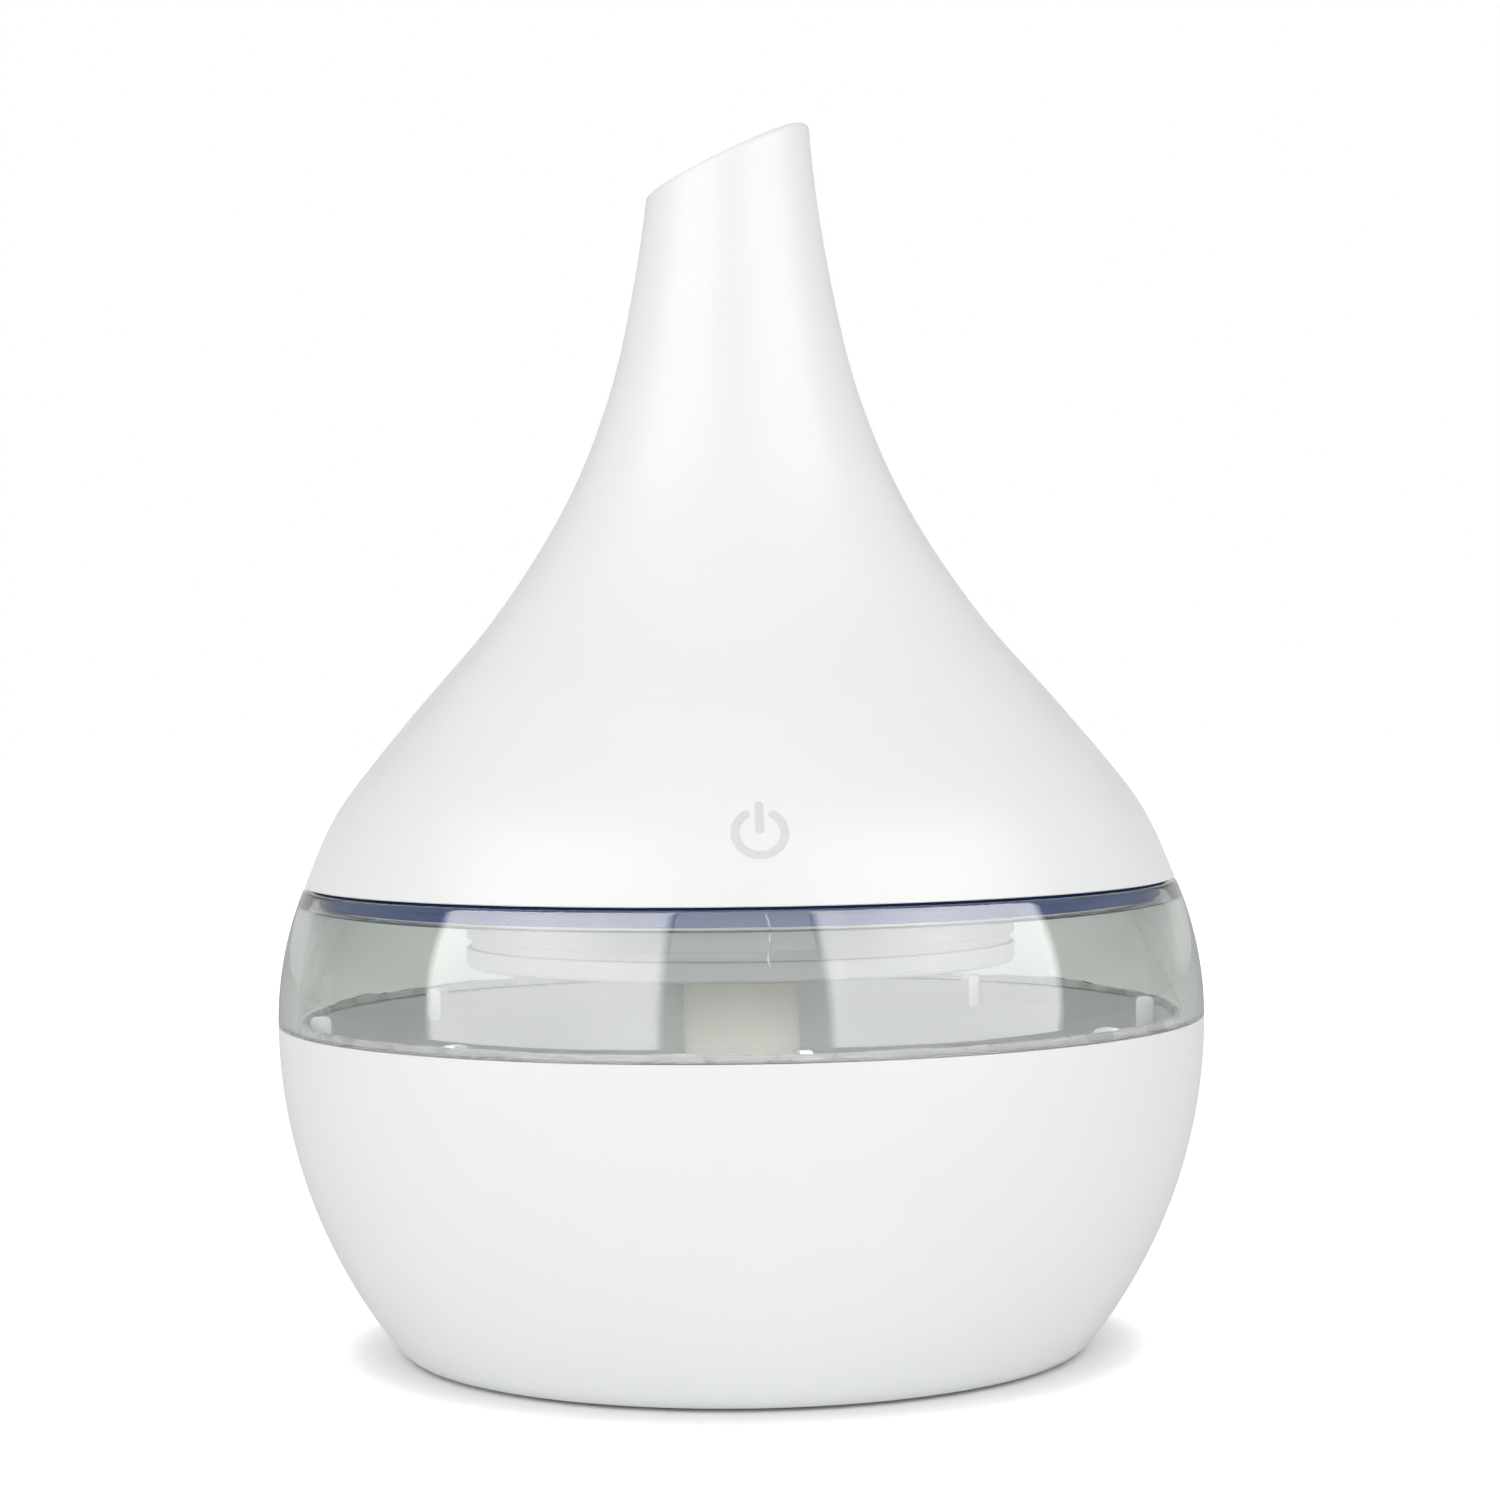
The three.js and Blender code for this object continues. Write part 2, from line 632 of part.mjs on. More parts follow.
function wickAssembly() {
  const group = new THREE.Group();
  const springLow = SLEEVE_BOTTOM_Z + 1.6 + SPRING_WIRE + 0.1;
  const springHeight = WICK_BOTTOM_Z - 0.1 - SPRING_WIRE - springLow;
  group.add(
    piece("wick_sleeve", wickSleeve(), inner_white),
    piece("sleeve_o_ring", torus(6.17, 0.5), pale_silicone, new THREE.Vector3(0, 0, 54.7)),
    piece("wick_spring", wire(new Helix(3.4, springHeight, 5), SPRING_WIRE, 45, 5), steel,
      new THREE.Vector3(0, 0, springLow)),
    piece("wick", disc(WICK_RADIUS, WICK_BOTTOM_Z, WICK_TOP_Z, 24), cotton),
  );
  return group;
}

const humidifier = new THREE.Group();
humidifier.add(tank(), tankSeal(), cover(), wickAssembly());

export default humidifier;
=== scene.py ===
"""A cool mist humidifier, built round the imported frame: fine shells, small parts, materials, studio, camera.

Shapes are written in millimetres, as (radius, z) outlines turned round Z, and become metres when a mesh is
made. Azimuths are in degrees from the front (-Y) towards +X.
"""
import math

import bpy
from mathutils import Matrix, Vector, noise


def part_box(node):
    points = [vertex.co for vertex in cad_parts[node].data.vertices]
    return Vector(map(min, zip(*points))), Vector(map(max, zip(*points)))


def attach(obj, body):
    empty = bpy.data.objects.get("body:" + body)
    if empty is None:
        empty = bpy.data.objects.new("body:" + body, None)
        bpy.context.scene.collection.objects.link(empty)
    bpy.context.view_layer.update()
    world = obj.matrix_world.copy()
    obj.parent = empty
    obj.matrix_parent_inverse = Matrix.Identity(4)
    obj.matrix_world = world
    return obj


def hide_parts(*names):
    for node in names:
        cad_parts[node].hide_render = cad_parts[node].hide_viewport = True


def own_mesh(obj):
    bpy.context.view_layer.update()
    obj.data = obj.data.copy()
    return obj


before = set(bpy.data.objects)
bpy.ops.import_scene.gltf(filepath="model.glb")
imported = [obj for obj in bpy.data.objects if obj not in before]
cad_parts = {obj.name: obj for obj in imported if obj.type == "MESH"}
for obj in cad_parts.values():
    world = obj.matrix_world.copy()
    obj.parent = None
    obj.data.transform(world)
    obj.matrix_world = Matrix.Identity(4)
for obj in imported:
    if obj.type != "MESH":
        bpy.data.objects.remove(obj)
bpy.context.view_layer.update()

MM = 0.001
FINE = 256  # facets round the outer shells
MIDDLE = 128  # round the tubes
RINGS = 96  # round the small rings and the wick
SMALL = 48  # round screws and feet
TOOL = 32  # round drilled holes

# ---- Driving sizes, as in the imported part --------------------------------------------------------

JOINT_Z = 36.75
MAX_RADIUS = 51
BOWL_ARC = 57
BOWL_WALL = 2.4
RING_ARC = 37.7
RING_TOP_Z = 51.3
RING_WALL = 2.2
LEDGE_LOW_Z = 48.85
STEP_Z = 49.25
COVER_BOTTOM_Z = 51.6
COVER_WALL = 1.8
COVER_OUTLINE = [
    (47.95, COVER_BOTTOM_Z), (44.05, 60), (36.05, 70), (26.6, 81), (18.85, 93),
    (13.85, 105), (10.98, 117), (9.2, 128.5), (8.4, 138),
]
MOUTH_Z = 131.6
MOUTH_TILT = math.radians(23.1)
PORT_Z = 57.9
PORT_WALL_LOW, PORT_WALL_HIGH = 53.4, 63.5
PLATE_SCREW_CIRCLE = 40.2
BOARD_SCREW_CIRCLE = 31.2
DUCT_SCREW_CIRCLE = 15.8
DUCT_SCREW_AZIMUTHS = (90, 270)
DUCT_FOOT_Z = 70.7
SLEEVE_BOTTOM_Z = 4.6
SLEEVE_TOP_Z = 62.9
CORNERS = (45, 135, 225, 315)
FLOW_LINE_X = 2.8
MARK_AZIMUTH = 2.6
MARK_Z = 58.7


# ---- Outlines ------------------------------------------------------------------------------------

def rounded(corners, steps):
    """A closed outline from (r, z, corner radius) corners, each corner turned into an arc."""
    outline = []
    count = len(corners)
    for i, (r, z, radius) in enumerate(corners):
        here = Vector((r, z))
        before = Vector(corners[i - 1][:2]) - here
        after = Vector(corners[(i + 1) % count][:2]) - here
        if radius == 0 or before.length < 1e-6 or after.length < 1e-6:
            outline.append((r, z))
            continue
        u, v = before.normalized(), after.normalized()
        half = math.acos(max(-1, min(1, u.dot(v)))) / 2
        if half > math.radians(88):  # hardly a corner
            outline.append((r, z))
            continue
        reach = min(radius / math.tan(half), 0.48 * before.length, 0.48 * after.length)
        radius = reach * math.tan(half)
        centre = here + (u + v).normalized() * (radius / math.sin(half))
        start, end = here + u * reach - centre, here + v * reach - centre
        turn = math.atan2(start.x * end.y - start.y * end.x, start.dot(end))
        for k in range(steps + 1):
            a = turn * k / steps
            outline.append((centre.x + start.x * math.cos(a) - start.y * math.sin(a),
                            centre.y + start.x * math.sin(a) + start.y * math.cos(a)))
    return outline


def side_arc(arc, low, high, steps, wall=0.0):
    """Points up an arc of circle in section, level with the joint at its widest."""
    heights = [low + (high - low) * i / steps for i in range(steps + 1)]
    return [(MAX_RADIUS - arc + math.sqrt((arc - wall) ** 2 - (z - JOINT_Z) ** 2), z) for z in heights]


def sharp(points):
    return [(r, z, 0) for r, z in points]


def cover_side(t):
    """Position and direction on the cover's outside, t from 0 at its rim to 1 past its mouth."""
    last = len(COVER_OUTLINE) - 1
    x = min(max(t, 0), 1) * last
    i = min(int(x), last - 1)
    f = x - i
    p0, p1, p2, p3 = (Vector(COVER_OUTLINE[min(max(i + k, 0), last)]) for k in (-1, 0, 1, 2))
    m1, m2 = (p2 - p0) / 2, (p3 - p1) / 2
    point = (p1 * (2 * f ** 3 - 3 * f ** 2 + 1) + m1 * (f ** 3 - 2 * f ** 2 + f)
             + p2 * (3 * f ** 2 - 2 * f ** 3) + m2 * (f ** 3 - f ** 2))
    slope = (p1 * (6 * f ** 2 - 6 * f) + m1 * (3 * f ** 2 - 4 * f + 1)
             + p2 * (6 * f - 6 * f ** 2) + m2 * (3 * f ** 2 - 2 * f))
    return point, slope.normalized()


def outward(direction):
    """Away from the axis, square to a direction that goes up the cover's side."""
    return Vector((direction.y, -direction.x))


def cover_radius(z):
    """Outside radius of the cover at a height."""
    low, high = 0.0, 1.0
    for _ in range(40):
        middle = (low + high) / 2
        low, high = (middle, high) if cover_side(middle)[0].y < z else (low, middle)
    return cover_side(low)[0].x


# ---- Mesh helpers --------------------------------------------------------------------------------

def around(azimuth, radius, z=0.0):
    """The point at an azimuth, a radius and a height."""
    a = math.radians(azimuth)
    return Vector((radius * math.sin(a), -radius * math.cos(a), z))


def mesh_piece(name, points, faces, material, crease=35):
    """An object from points in millimetres, smooth except where its faces meet sharply."""
    mesh = bpy.data.meshes.new(name)
    mesh.from_pydata([Vector(p) * MM for p in points], [], faces)
    mesh.validate()
    mesh.materials.append(material)
    piece = bpy.data.objects.new(name, mesh)
    bpy.context.scene.collection.objects.link(piece)
    smooth(piece, crease)
    return piece


def smooth(piece, crease=35):
    piece.data.shade_smooth()
    piece.data.set_sharp_from_angle(angle=math.radians(crease))


def grid_faces(rows, columns, close_rows):
    """Quads of a grid whose columns close into a ring, and whose rows do too if asked."""
    return [(i * columns + j, i * columns + (j + 1) % columns,
             (i + 1) % rows * columns + (j + 1) % columns, (i + 1) % rows * columns + j)
            for i in range(rows if close_rows else rows - 1) for j in range(columns)]


def turned(name, outline, material, facets, ripple=None, crease=35):
    """An outline of (r, z) points, going up its outside, turned round Z. It closes on itself or ends on the
    axis. ripple(azimuth, r, z), in millimetres, may move each point to another (r, z)."""
    on_axis = outline[0][0] == 0
    body = outline[1:-1] if on_axis else outline
    points = []
    for r, z in body:
        for j in range(facets):
            azimuth = 360 * j / facets
            rr, zz = ripple(azimuth, r, z) if ripple else (r, z)
            points.append(around(azimuth, rr, zz))
    faces = grid_faces(len(body), facets, not on_axis)
    if on_axis:
        low, high = len(points), len(points) + 1
        points += [Vector((0, 0, outline[0][1])), Vector((0, 0, outline[-1][1]))]
        top = (len(body) - 1) * facets
        faces += [(low, (j + 1) % facets, j) for j in range(facets)]
        faces += [(high, top + j, top + (j + 1) % facets) for j in range(facets)]
    return mesh_piece(name, points, faces, material, crease)


def block(low, high, corner, axis="z", steps=4):
    """A box whose four edges along one axis are rounded; a tool for cuts and joins, or a piece's start."""
    order = {"x": (1, 2, 0), "y": (2, 0, 1), "z": (0, 1, 2)}[axis]
    a0, b0, c0 = (low[k] for k in order)
    a1, b1, c1 = (high[k] for k in order)
    loop = rounded([(a0, b0, corner), (a1, b0, corner), (a1, b1, corner), (a0, b1, corner)], steps)
    points = []
    for c in (c0, c1):
        for a, b in loop:
            p = [0, 0, 0]
            p[order[0]], p[order[1]], p[order[2]] = a, b, c
            points.append(p)
    n = len(loop)
    faces = [tuple(reversed(range(n))), tuple(range(n, 2 * n))]
    faces += [(i, (i + 1) % n, n + (i + 1) % n, n + i) for i in range(n)]
    return mesh_piece("tool", points, faces, blank)


def rod(radius, low, high):
    """A round bar on the axis; a tool for holes."""
    return turned("tool", [(0, low), (radius, low), (radius, high), (0, high)], blank, TOOL)


def place(piece, azimuth, at=(0, 0, 0), flip=False):
    """Turns a piece round Z and moves it, in its mesh; flip first turns it upside down."""
    matrix = Matrix.Translation(Vector(at) * MM) @ Matrix.Rotation(math.radians(azimuth), 4, "Z")
    if flip:
        matrix = matrix @ Matrix.Rotation(math.pi, 4, "X")
    piece.data.transform(matrix)
    return piece


def combine(piece, operation, *tools):
    """Joins, cuts or intersects a piece with tools, which are then gone."""
    for tool in tools:
        step = piece.modifiers.new("combine", "BOOLEAN")
        step.object = tool
        step.operation = operation
        step.solver = "EXACT"
    graph = bpy.context.evaluated_depsgraph_get()
    made = bpy.data.meshes.new_from_object(piece.evaluated_get(graph))
    piece.modifiers.clear()
    piece.data = made
    for tool in tools:
        bpy.data.objects.remove(tool)
    smooth(piece)


def tube(name, path, radius, material):
    """A round wire of constant radius along a path, with domed ends."""
    sides, dome = 12, 3
    points = []
    normal = Vector((0, 0, 1))
    count = len(path)
    for i, centre in enumerate(path):
        along = (path[min(i + 1, count - 1)] - path[max(i - 1, 0)]).normalized()
        normal = (normal - along * normal.dot(along)).normalized()
        side = along.cross(normal)
        rings = [(0.0, 1.0)]
        if i in (0, count - 1):
            rings = [(math.sin(a), math.cos(a)) for a in (math.pi / 2 * k / dome for k in range(dome))]
            rings = [(-s, c) for s, c in reversed(rings)] if i == 0 else rings
        for shift, share in rings:
            for j in range(sides):
                a = 2 * math.pi * j / sides
                points.append(centre + along * shift * radius
                              + (normal * math.cos(a) + side * math.sin(a)) * radius * share)
    rows = len(points) // sides
    faces = grid_faces(rows, sides, False)
    faces += [tuple(reversed(range(sides))), tuple(range((rows - 1) * sides, rows * sides))]
    return mesh_piece(name, points, faces, material, 60)


def ride(piece, body, slot, *nodes):
    """The piece moves with a body and stands for CAD nodes. The slot is not used."""
    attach(piece, body)
    if nodes:
        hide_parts(*nodes)


# ---- Materials -----------------------------------------------------------------------------------

class Nodes:
    """A node tree with short ways to add to it."""

    def __init__(self, tree):
        self.tree = tree

    def node(self, kind, **inputs):
        """A new node. Each input is named, or numbered as in _0, and gets a value or a socket."""
        made = self.tree.nodes.new(kind)
        for name, value in inputs.items():
            key = int(name[1:]) if name[0] == "_" else name.replace("_", " ")
            if isinstance(value, bpy.types.NodeSocket):
                self.tree.links.new(value, made.inputs[key])
            else:
                made.inputs[key].default_value = value
        return made

    def math(self, operation, first, second=0.0):
        """One step of arithmetic."""
        made = self.node("ShaderNodeMath", _0=first, _1=second)
        made.operation = operation
        return made.outputs[0]

    def mix(self, factor, *colours):
        """Goes from one colour to another, each a socket or (red, green, blue)."""
        made = self.node("ShaderNodeMix", _0=factor)
        made.data_type = "RGBA"
        for slot, colour in zip((6, 7), colours):
            if isinstance(colour, bpy.types.NodeSocket):
                self.tree.links.new(colour, made.inputs[slot])
            else:
                made.inputs[slot].default_value = (*colour, 1)
        return made.outputs[2]

    def between(self, factor, low, high, start=0.3, end=0.7):
        """Goes from low to high while the factor goes from start to end."""
        return self.node("ShaderNodeMapRange", Value=factor, From_Min=start, From_Max=end,
                         To_Min=low, To_Max=high).outputs["Result"]


class Finish(Nodes):
    """A Principled material with short ways to add procedural detail."""

    def __init__(self, name, colour, roughness, metallic=0.0):
        self.material = bpy.data.materials.new(name)
        self.material.use_nodes = True
        super().__init__(self.material.node_tree)
        self.shader = self.tree.nodes["Principled BSDF"]
        self.set("Base Color", (*colour, 1))
        self.set("Roughness", roughness)
        self.set("Metallic", metallic)
        self.set("IOR", 1.5)
        self.where = self.node("ShaderNodeTexCoord").outputs["Object"]

    def set(self, name, value):
        self.shader.inputs[name].default_value = value

    def link(self, source, name):
        self.tree.links.new(source, self.shader.inputs[name])

    def xyz(self):
        """X, Y and Z of the place, each a socket in metres."""
        return self.node("ShaderNodeSeparateXYZ", Vector=self.where).outputs

    def stretched(self, scale):
        made = self.node("ShaderNodeVectorMath", _0=self.where, _1=scale)
        made.operation = "MULTIPLY"
        return made.outputs[0]

    def noise(self, scale, detail=3.0, where=None):
        """Noise with features about 1 / scale metres across."""
        made = self.node("ShaderNodeTexNoise", Vector=where or self.where, Scale=scale, Detail=detail)
        return made.outputs["Fac"]

    def tones(self, factor, *stops):
        """A colour ramp from (position, colour) stops."""
        ramp = self.node("ShaderNodeValToRGB", Fac=factor)
        elements = ramp.color_ramp.elements
        while len(elements) < len(stops):
            elements.new(0.5)
        for element, (position, colour) in zip(elements, stops):
            element.position = position
            element.color = (*colour, 1)
        return ramp.outputs["Color"]

    def bump(self, *layers):
        """Each layer is (height socket, depth in millimetres)."""
        normal = None
        for height, depth in layers:
            made = self.node("ShaderNodeBump", Height=height, Distance=depth * MM)
            made.inputs["Strength"].default_value = 1.0
            if normal:
                self.tree.links.new(normal, made.inputs["Normal"])
            normal = made.outputs["Normal"]
        self.link(normal, "Normal")
        return self


def shade(colour, share):
    return tuple(min(1.0, c * share) for c in colour)


FAINT_GLOSS = 0.06  # specular level of the moulded and printed surfaces


def moulded(name, colour, roughness, texture=0.004):
    """Moulded plastic: faint flow marks in its tone, a fine skin texture and uneven gloss."""
    finish = Finish(name, colour, roughness)
    finish.set("Specular IOR Level", FAINT_GLOSS)
    drift = finish.noise(26, 2)
    finish.link(finish.tones(drift, (0.3, shade(colour, 0.988)), (0.7, shade(colour, 1.012))), "Base Color")
    finish.link(finish.between(finish.noise(130), roughness - 0.05, roughness + 0.05), "Roughness")
    finish.bump((finish.noise(1600, 2), texture), (finish.noise(90, 1), texture * 2.5))
    return finish


def brushed(name, colour, roughness):
    """Plated or drawn metal with fine streaks."""
    finish = Finish(name, colour, roughness, metallic=1.0)
    streak = finish.noise(500, 3, finish.stretched((1, 1, 30)))
    finish.link(finish.between(streak, roughness - 0.08, roughness + 0.12), "Roughness")
    finish.link(finish.tones(finish.noise(300), (0.3, shade(colour, 0.86)), (0.7, colour)), "Base Color")
    return finish.bump((streak, 0.004))


def silicone(name, colour, roughness=0.42, specular=0.5):
    """Silicone or rubber: a cloudy tone and a fine grain."""
    finish = Finish(name, colour, roughness)
    finish.set("Specular IOR Level", specular)
    cloud = finish.noise(160)
    finish.link(finish.tones(cloud, (0.3, shade(colour, 0.9)), (0.7, shade(colour, 1.08))), "Base Color")
    finish.link(finish.between(finish.noise(700), roughness - 0.06, roughness + 0.08), "Roughness")
    return finish.bump((finish.noise(2400, 2), 0.01))


def clear_plastic():
    """Clear plastic with faint waves, and a flow line down its front where two streams met in the mould."""
    finish = Finish("clear_plastic", (0.97, 0.98, 0.975), 0.02)
    finish.set("Transmission Weight", 0.975)
    xyz = finish.xyz()
    sway = finish.between(finish.noise(700, 2), -0.25 * MM, 0.25 * MM)
    offset = finish.math("SUBTRACT", finish.math("ADD", xyz["X"], sway), FLOW_LINE_X * MM)
    line = finish.between(finish.math("ABSOLUTE", offset), 1, 0, 0.02 * MM, 0.09 * MM)
    upper = finish.between(xyz["Z"], 0, 1, 45.5 * MM, 47.5 * MM)
    front = finish.between(xyz["Y"], 1, 0, -1 * MM, 1 * MM)
    groove = finish.math("MULTIPLY", finish.math("MULTIPLY", line, upper), front)
    return finish.bump((finish.noise(60, 1), 0.004), (groove, 0.05))


def sealant(name, colour, front):
    """Hardened glue: cloudy, with an uneven gloss. Its front and its back take separate colours, set for how
    the light through the clear ring falls on each: painted light and painted shade.
    """
    finish = Finish(name, colour, 0.25)
    cloud = finish.noise(260, 4)
    # Blends from the front colour to the back colour: painted light and shade, not a change in the glue
    # itself.
    backward = finish.between(finish.xyz()["Y"], 0, 1, -30 * MM, 30 * MM)
    at_front = finish.tones(cloud, (0.3, shade(front, 0.8)), (0.65, front))
    elsewhere = finish.tones(cloud, (0.3, shade(colour, 0.85)), (0.65, colour))
    finish.link(finish.mix(backward, at_front, elsewhere), "Base Color")
    finish.link(finish.between(cloud, 0.2, 0.4), "Roughness")
    return finish.bump((cloud, 0.06))


def cotton():
    """Cotton cord: long fibres, with painted shade in the gaps between them where the fibre bump is low."""
    colour = (0.82, 0.78, 0.68)
    finish = Finish("cotton", colour, 0.95)
    fibre = finish.noise(1400, 5, finish.stretched((1, 1, 0.12)))
    # Darker where the fibre noise is low, as in the bump's hollows: painted shade in the gaps.
    finish.link(finish.tones(fibre, (0.3, shade(colour, 0.72)), (0.62, colour)), "Base Color")
    finish.set("Sheen Weight", 0.3)
    return finish.bump((fibre, 0.12), (finish.noise(500, 3), 0.1))


def circuit_board():
    """Green solder mask, paler where it covers the copper traces."""
    mask, over_copper = (0.02, 0.20, 0.10), (0.05, 0.33, 0.17)
    finish = Finish("solder_mask", mask, 0.3)
    cells = finish.node("ShaderNodeTexVoronoi", Vector=finish.where, Scale=210.0)
    cells.distance = "MANHATTAN"
    trace = finish.tones(cells.outputs["Distance"],
                         (0.30, mask), (0.34, over_copper), (0.42, over_copper), (0.46, mask))
    finish.link(trace, "Base Color")
    finish.link(finish.between(finish.noise(400), 0.24, 0.4), "Roughness")
    return finish.bump((cells.outputs["Distance"], 0.02))


def component(name, colour, roughness):
    """A small hard part: mottled, with a fine grain."""
    finish = Finish(name, colour, roughness)
    grain, mottle = finish.noise(2600, 2), finish.noise(300)
    finish.link(finish.tones(mottle, (0.3, shade(colour, 0.8)), (0.7, shade(colour, 1.2))), "Base Color")
    finish.link(finish.between(grain, roughness - 0.08, roughness + 0.08), "Roughness")
    return finish.bump((grain, 0.015))


def printed_ink():
    """Pale grey ink with faint specks."""
    colour = (0.70, 0.705, 0.71)
    finish = Finish("printed_ink", colour, 0.4)
    finish.set("Specular IOR Level", FAINT_GLOSS)
    speck = finish.noise(1800, 3)
    finish.link(finish.tones(speck, (0.3, shade(colour, 0.96)), (0.6, colour)), "Base Color")
    return finish.bump((speck, 0.004))


blank = bpy.data.materials.new("blank")  # for tools, which don't stay
looks = {
    "gloss_white": moulded("gloss_white", (0.83, 0.85, 0.83), 0.34),
    "inner_white": moulded("inner_white", (0.80, 0.81, 0.785), 0.42, 0.008),
    # White plastic like inner_white, painted grey for the shade under the cover where the cup hangs: painted
    # shade.
    "cup_painted_shade_grey": moulded("cup_painted_shade_grey", (0.45, 0.465, 0.46), 0.42, 0.008),
    "sleeve_cream": moulded("sleeve_cream", (0.84, 0.82, 0.75), 0.45, 0.01),
    "clear_plastic": clear_plastic(),
    # The near bead's front colour is darker, painted shade against the bright light through the ring; the far
    # bead's colour is paler, painted light.
    "sealant": sealant("sealant", (0.74, 0.78, 0.73), (0.33, 0.32, 0.335)),
    # Dark edge lines, with a paler front colour that is painted light.
    "sealant_edge": sealant("sealant_edge", (0.10, 0.11, 0.14), (0.55, 0.55, 0.56)),
    "navy_silicone": silicone("navy_silicone", (0.013, 0.028, 0.1), specular=0.0),
    "pale_silicone": silicone("pale_silicone", (0.70, 0.72, 0.69), 0.5),
    "grey_rubber": silicone("grey_rubber", (0.26, 0.265, 0.265), 0.75),
    "cotton": cotton(),
    "steel": brushed("steel", (0.62, 0.62, 0.61), 0.3),
    "brass": brushed("brass", (0.78, 0.58, 0.28), 0.32),
    "ceramic": component("ceramic", (0.70, 0.65, 0.52), 0.5),
    "board_green": circuit_board(),
    "chip_black": component("chip_black", (0.02, 0.02, 0.022), 0.45),
    "led_yellow": component("led_yellow", (0.83, 0.78, 0.45), 0.3),
    "wire_red": component("wire_red", (0.42, 0.03, 0.02), 0.4),
    "wire_black": component("wire_black", (0.02, 0.02, 0.022), 0.4),
    "ink": printed_ink(),
}
looks = {name: finish.material for name, finish in looks.items()}


# ---- Tank ----------------------------------------------------------------------------------------

def base_bowl():
    """The white bowl, with thin ribs on its rim that centre the clear ring."""
    rim, ribs = JOINT_Z - 0.15, 8
    outside = side_arc(BOWL_ARC, 1.25, rim - 0.08, 60)
    inside = side_arc(BOWL_ARC, 7.5, rim - 5.5, 36, BOWL_WALL)[::-1]
    r0, z0 = inside[-1]
    corners = [
        (0, 1.5, 0), (32.9, 1.5, 0.5), (33.6, 0.4, 0.3), (37.55, 0.4, 0.3), *sharp(outside),
        (outside[-1][0], rim, 0.06), (47.6, rim, 0.25), (47.6, rim - 2.2, 0.8), *sharp(inside),
        (r0 - 1.9, z0 - 2.6, 2.2), (r0 - 5.4, 3.5, 3.0), (0, 3.5, 0),
    ]
    bowl = turned("bowl", rounded(corners, 6), looks["gloss_white"], FINE)
    tabs = []
    for i in range(ribs):
        tab = block((-0.6, -47.7, rim - 3.0), (0.6, -45.3, 37.4), 0.6, "x")
        tabs.append(place(tab, 7.5 + 360 / ribs * i))
    combine(bowl, "UNION", *tabs)
    ride(bowl, "tank", "gloss_white", "base_bowl")


def clear_ring():
    """The clear ring, with a ledge inside its mouth that the seal lies on."""
    outside = side_arc(RING_ARC, JOINT_Z + 0.1, RING_TOP_Z - 0.5, 40)
    inside = side_arc(RING_ARC, JOINT_Z + 0.2, LEDGE_LOW_Z, 36, RING_WALL)[::-1]
    corners = [
        (MAX_RADIUS - RING_WALL, JOINT_Z, 0.1), (50.99, JOINT_Z, 0.06), *sharp(outside),
        (outside[-1][0] - 0.2, RING_TOP_Z, 0.4), (47.05, RING_TOP_Z, 0.2), (47.8, STEP_Z, 0.05),
        (46.3, STEP_Z, 0.06), (46.3, STEP_Z - 0.2, 0.06), *sharp(inside),
    ]
    band = turned("clear_band", rounded(corners, 5), looks["clear_plastic"], FINE)
    ride(band, "tank", "clear_plastic", "clear_ring")


def glue_bead():
    """The bead swells and runs unevenly, most of all at the back, and its film lies under the clear ring."""
    low, film, crest, high = (JOINT_Z + rise for rise in (-0.1, 0.06, 0.3, 0.55))

    def ripple(azimuth, r, z):
        if z <= crest:
            return r, z
        p = around(azimuth, 1.0)
        swell = noise.noise(Vector((p.x * 4, p.y * 4, 3)))
        swell += 0.5 * noise.noise(Vector((p.x * 17, p.y * 17, 8)))
        back = max(0, -math.cos(math.radians(azimuth)))
        return r - 0.1 * back, z + max(-0.2, (0.25 + 0.75 * swell) * (0.25 + back))
    outline = rounded([(47.78, low, 0.1), (50.94, low, 0.02), (50.94, film, 0.02), (48.65, film, 0.02),
                       (48.65, high, 0.25), (47.78, high, 0.25)], 4)
    bead = turned("glue_line", outline, looks["sealant"], FINE, ripple)
    bead.data.materials.append(looks["sealant_edge"])
    for face in bead.data.polygons:
        over, under = face.center.z > crest * MM, face.center.z < JOINT_Z * MM
        if over and face.normal.z > 0.85 or under and face.center.xy.length < 47.9 * MM:
            face.material_index = 1
    ride(bead, "tank", "sealant", "glue_bead")


def seal():
    """The dark ring under the cover's edge, with shallow ribs round its outside."""
    low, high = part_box("tank_seal")
    z, top, inner, outer = low.z / MM, high.z / MM, 45.05, 46.85
    corners = [
        (inner, z, 0.2), (outer, z, 0.15), (outer - 0.07, z + 0.7, 0.1), (outer, z + 1.05, 0.15),
        (outer - 0.07, z + 1.4, 0.1), (outer, top - 0.15, 0.1), (outer - 0.15, top, 0.15),
        (inner + 0.15, top, 0.15), (inner, z + 1.05, 0.2),
    ]
    ring = turned("seal_ring", rounded(corners, 3), looks["navy_silicone"], FINE)
    ride(ring, "tank", "navy_silicone", "tank_seal")


def feet():
    for i, azimuth in enumerate(CORNERS, 1):
        corners = [(0, 0, 0), (4.5, 0, 0.35), (4.5, 1.45, 0.3), (0, 1.45, 0)]
        pad = turned(f"foot_{i}", rounded(corners, 4), looks["grey_rubber"], SMALL)
        place(pad, 0, around(azimuth, 27))
        ride(pad, "tank", "grey_rubber", f"foot_pad_{i}")


# ---- Cover ---------------------------------------------------------------------------------------

def mouth_height(azimuth, radius):
    """Height of the slanted mouth over a point; it is highest towards +X."""
    return MOUTH_Z + math.tan(MOUTH_TILT) * radius * math.sin(math.radians(azimuth))


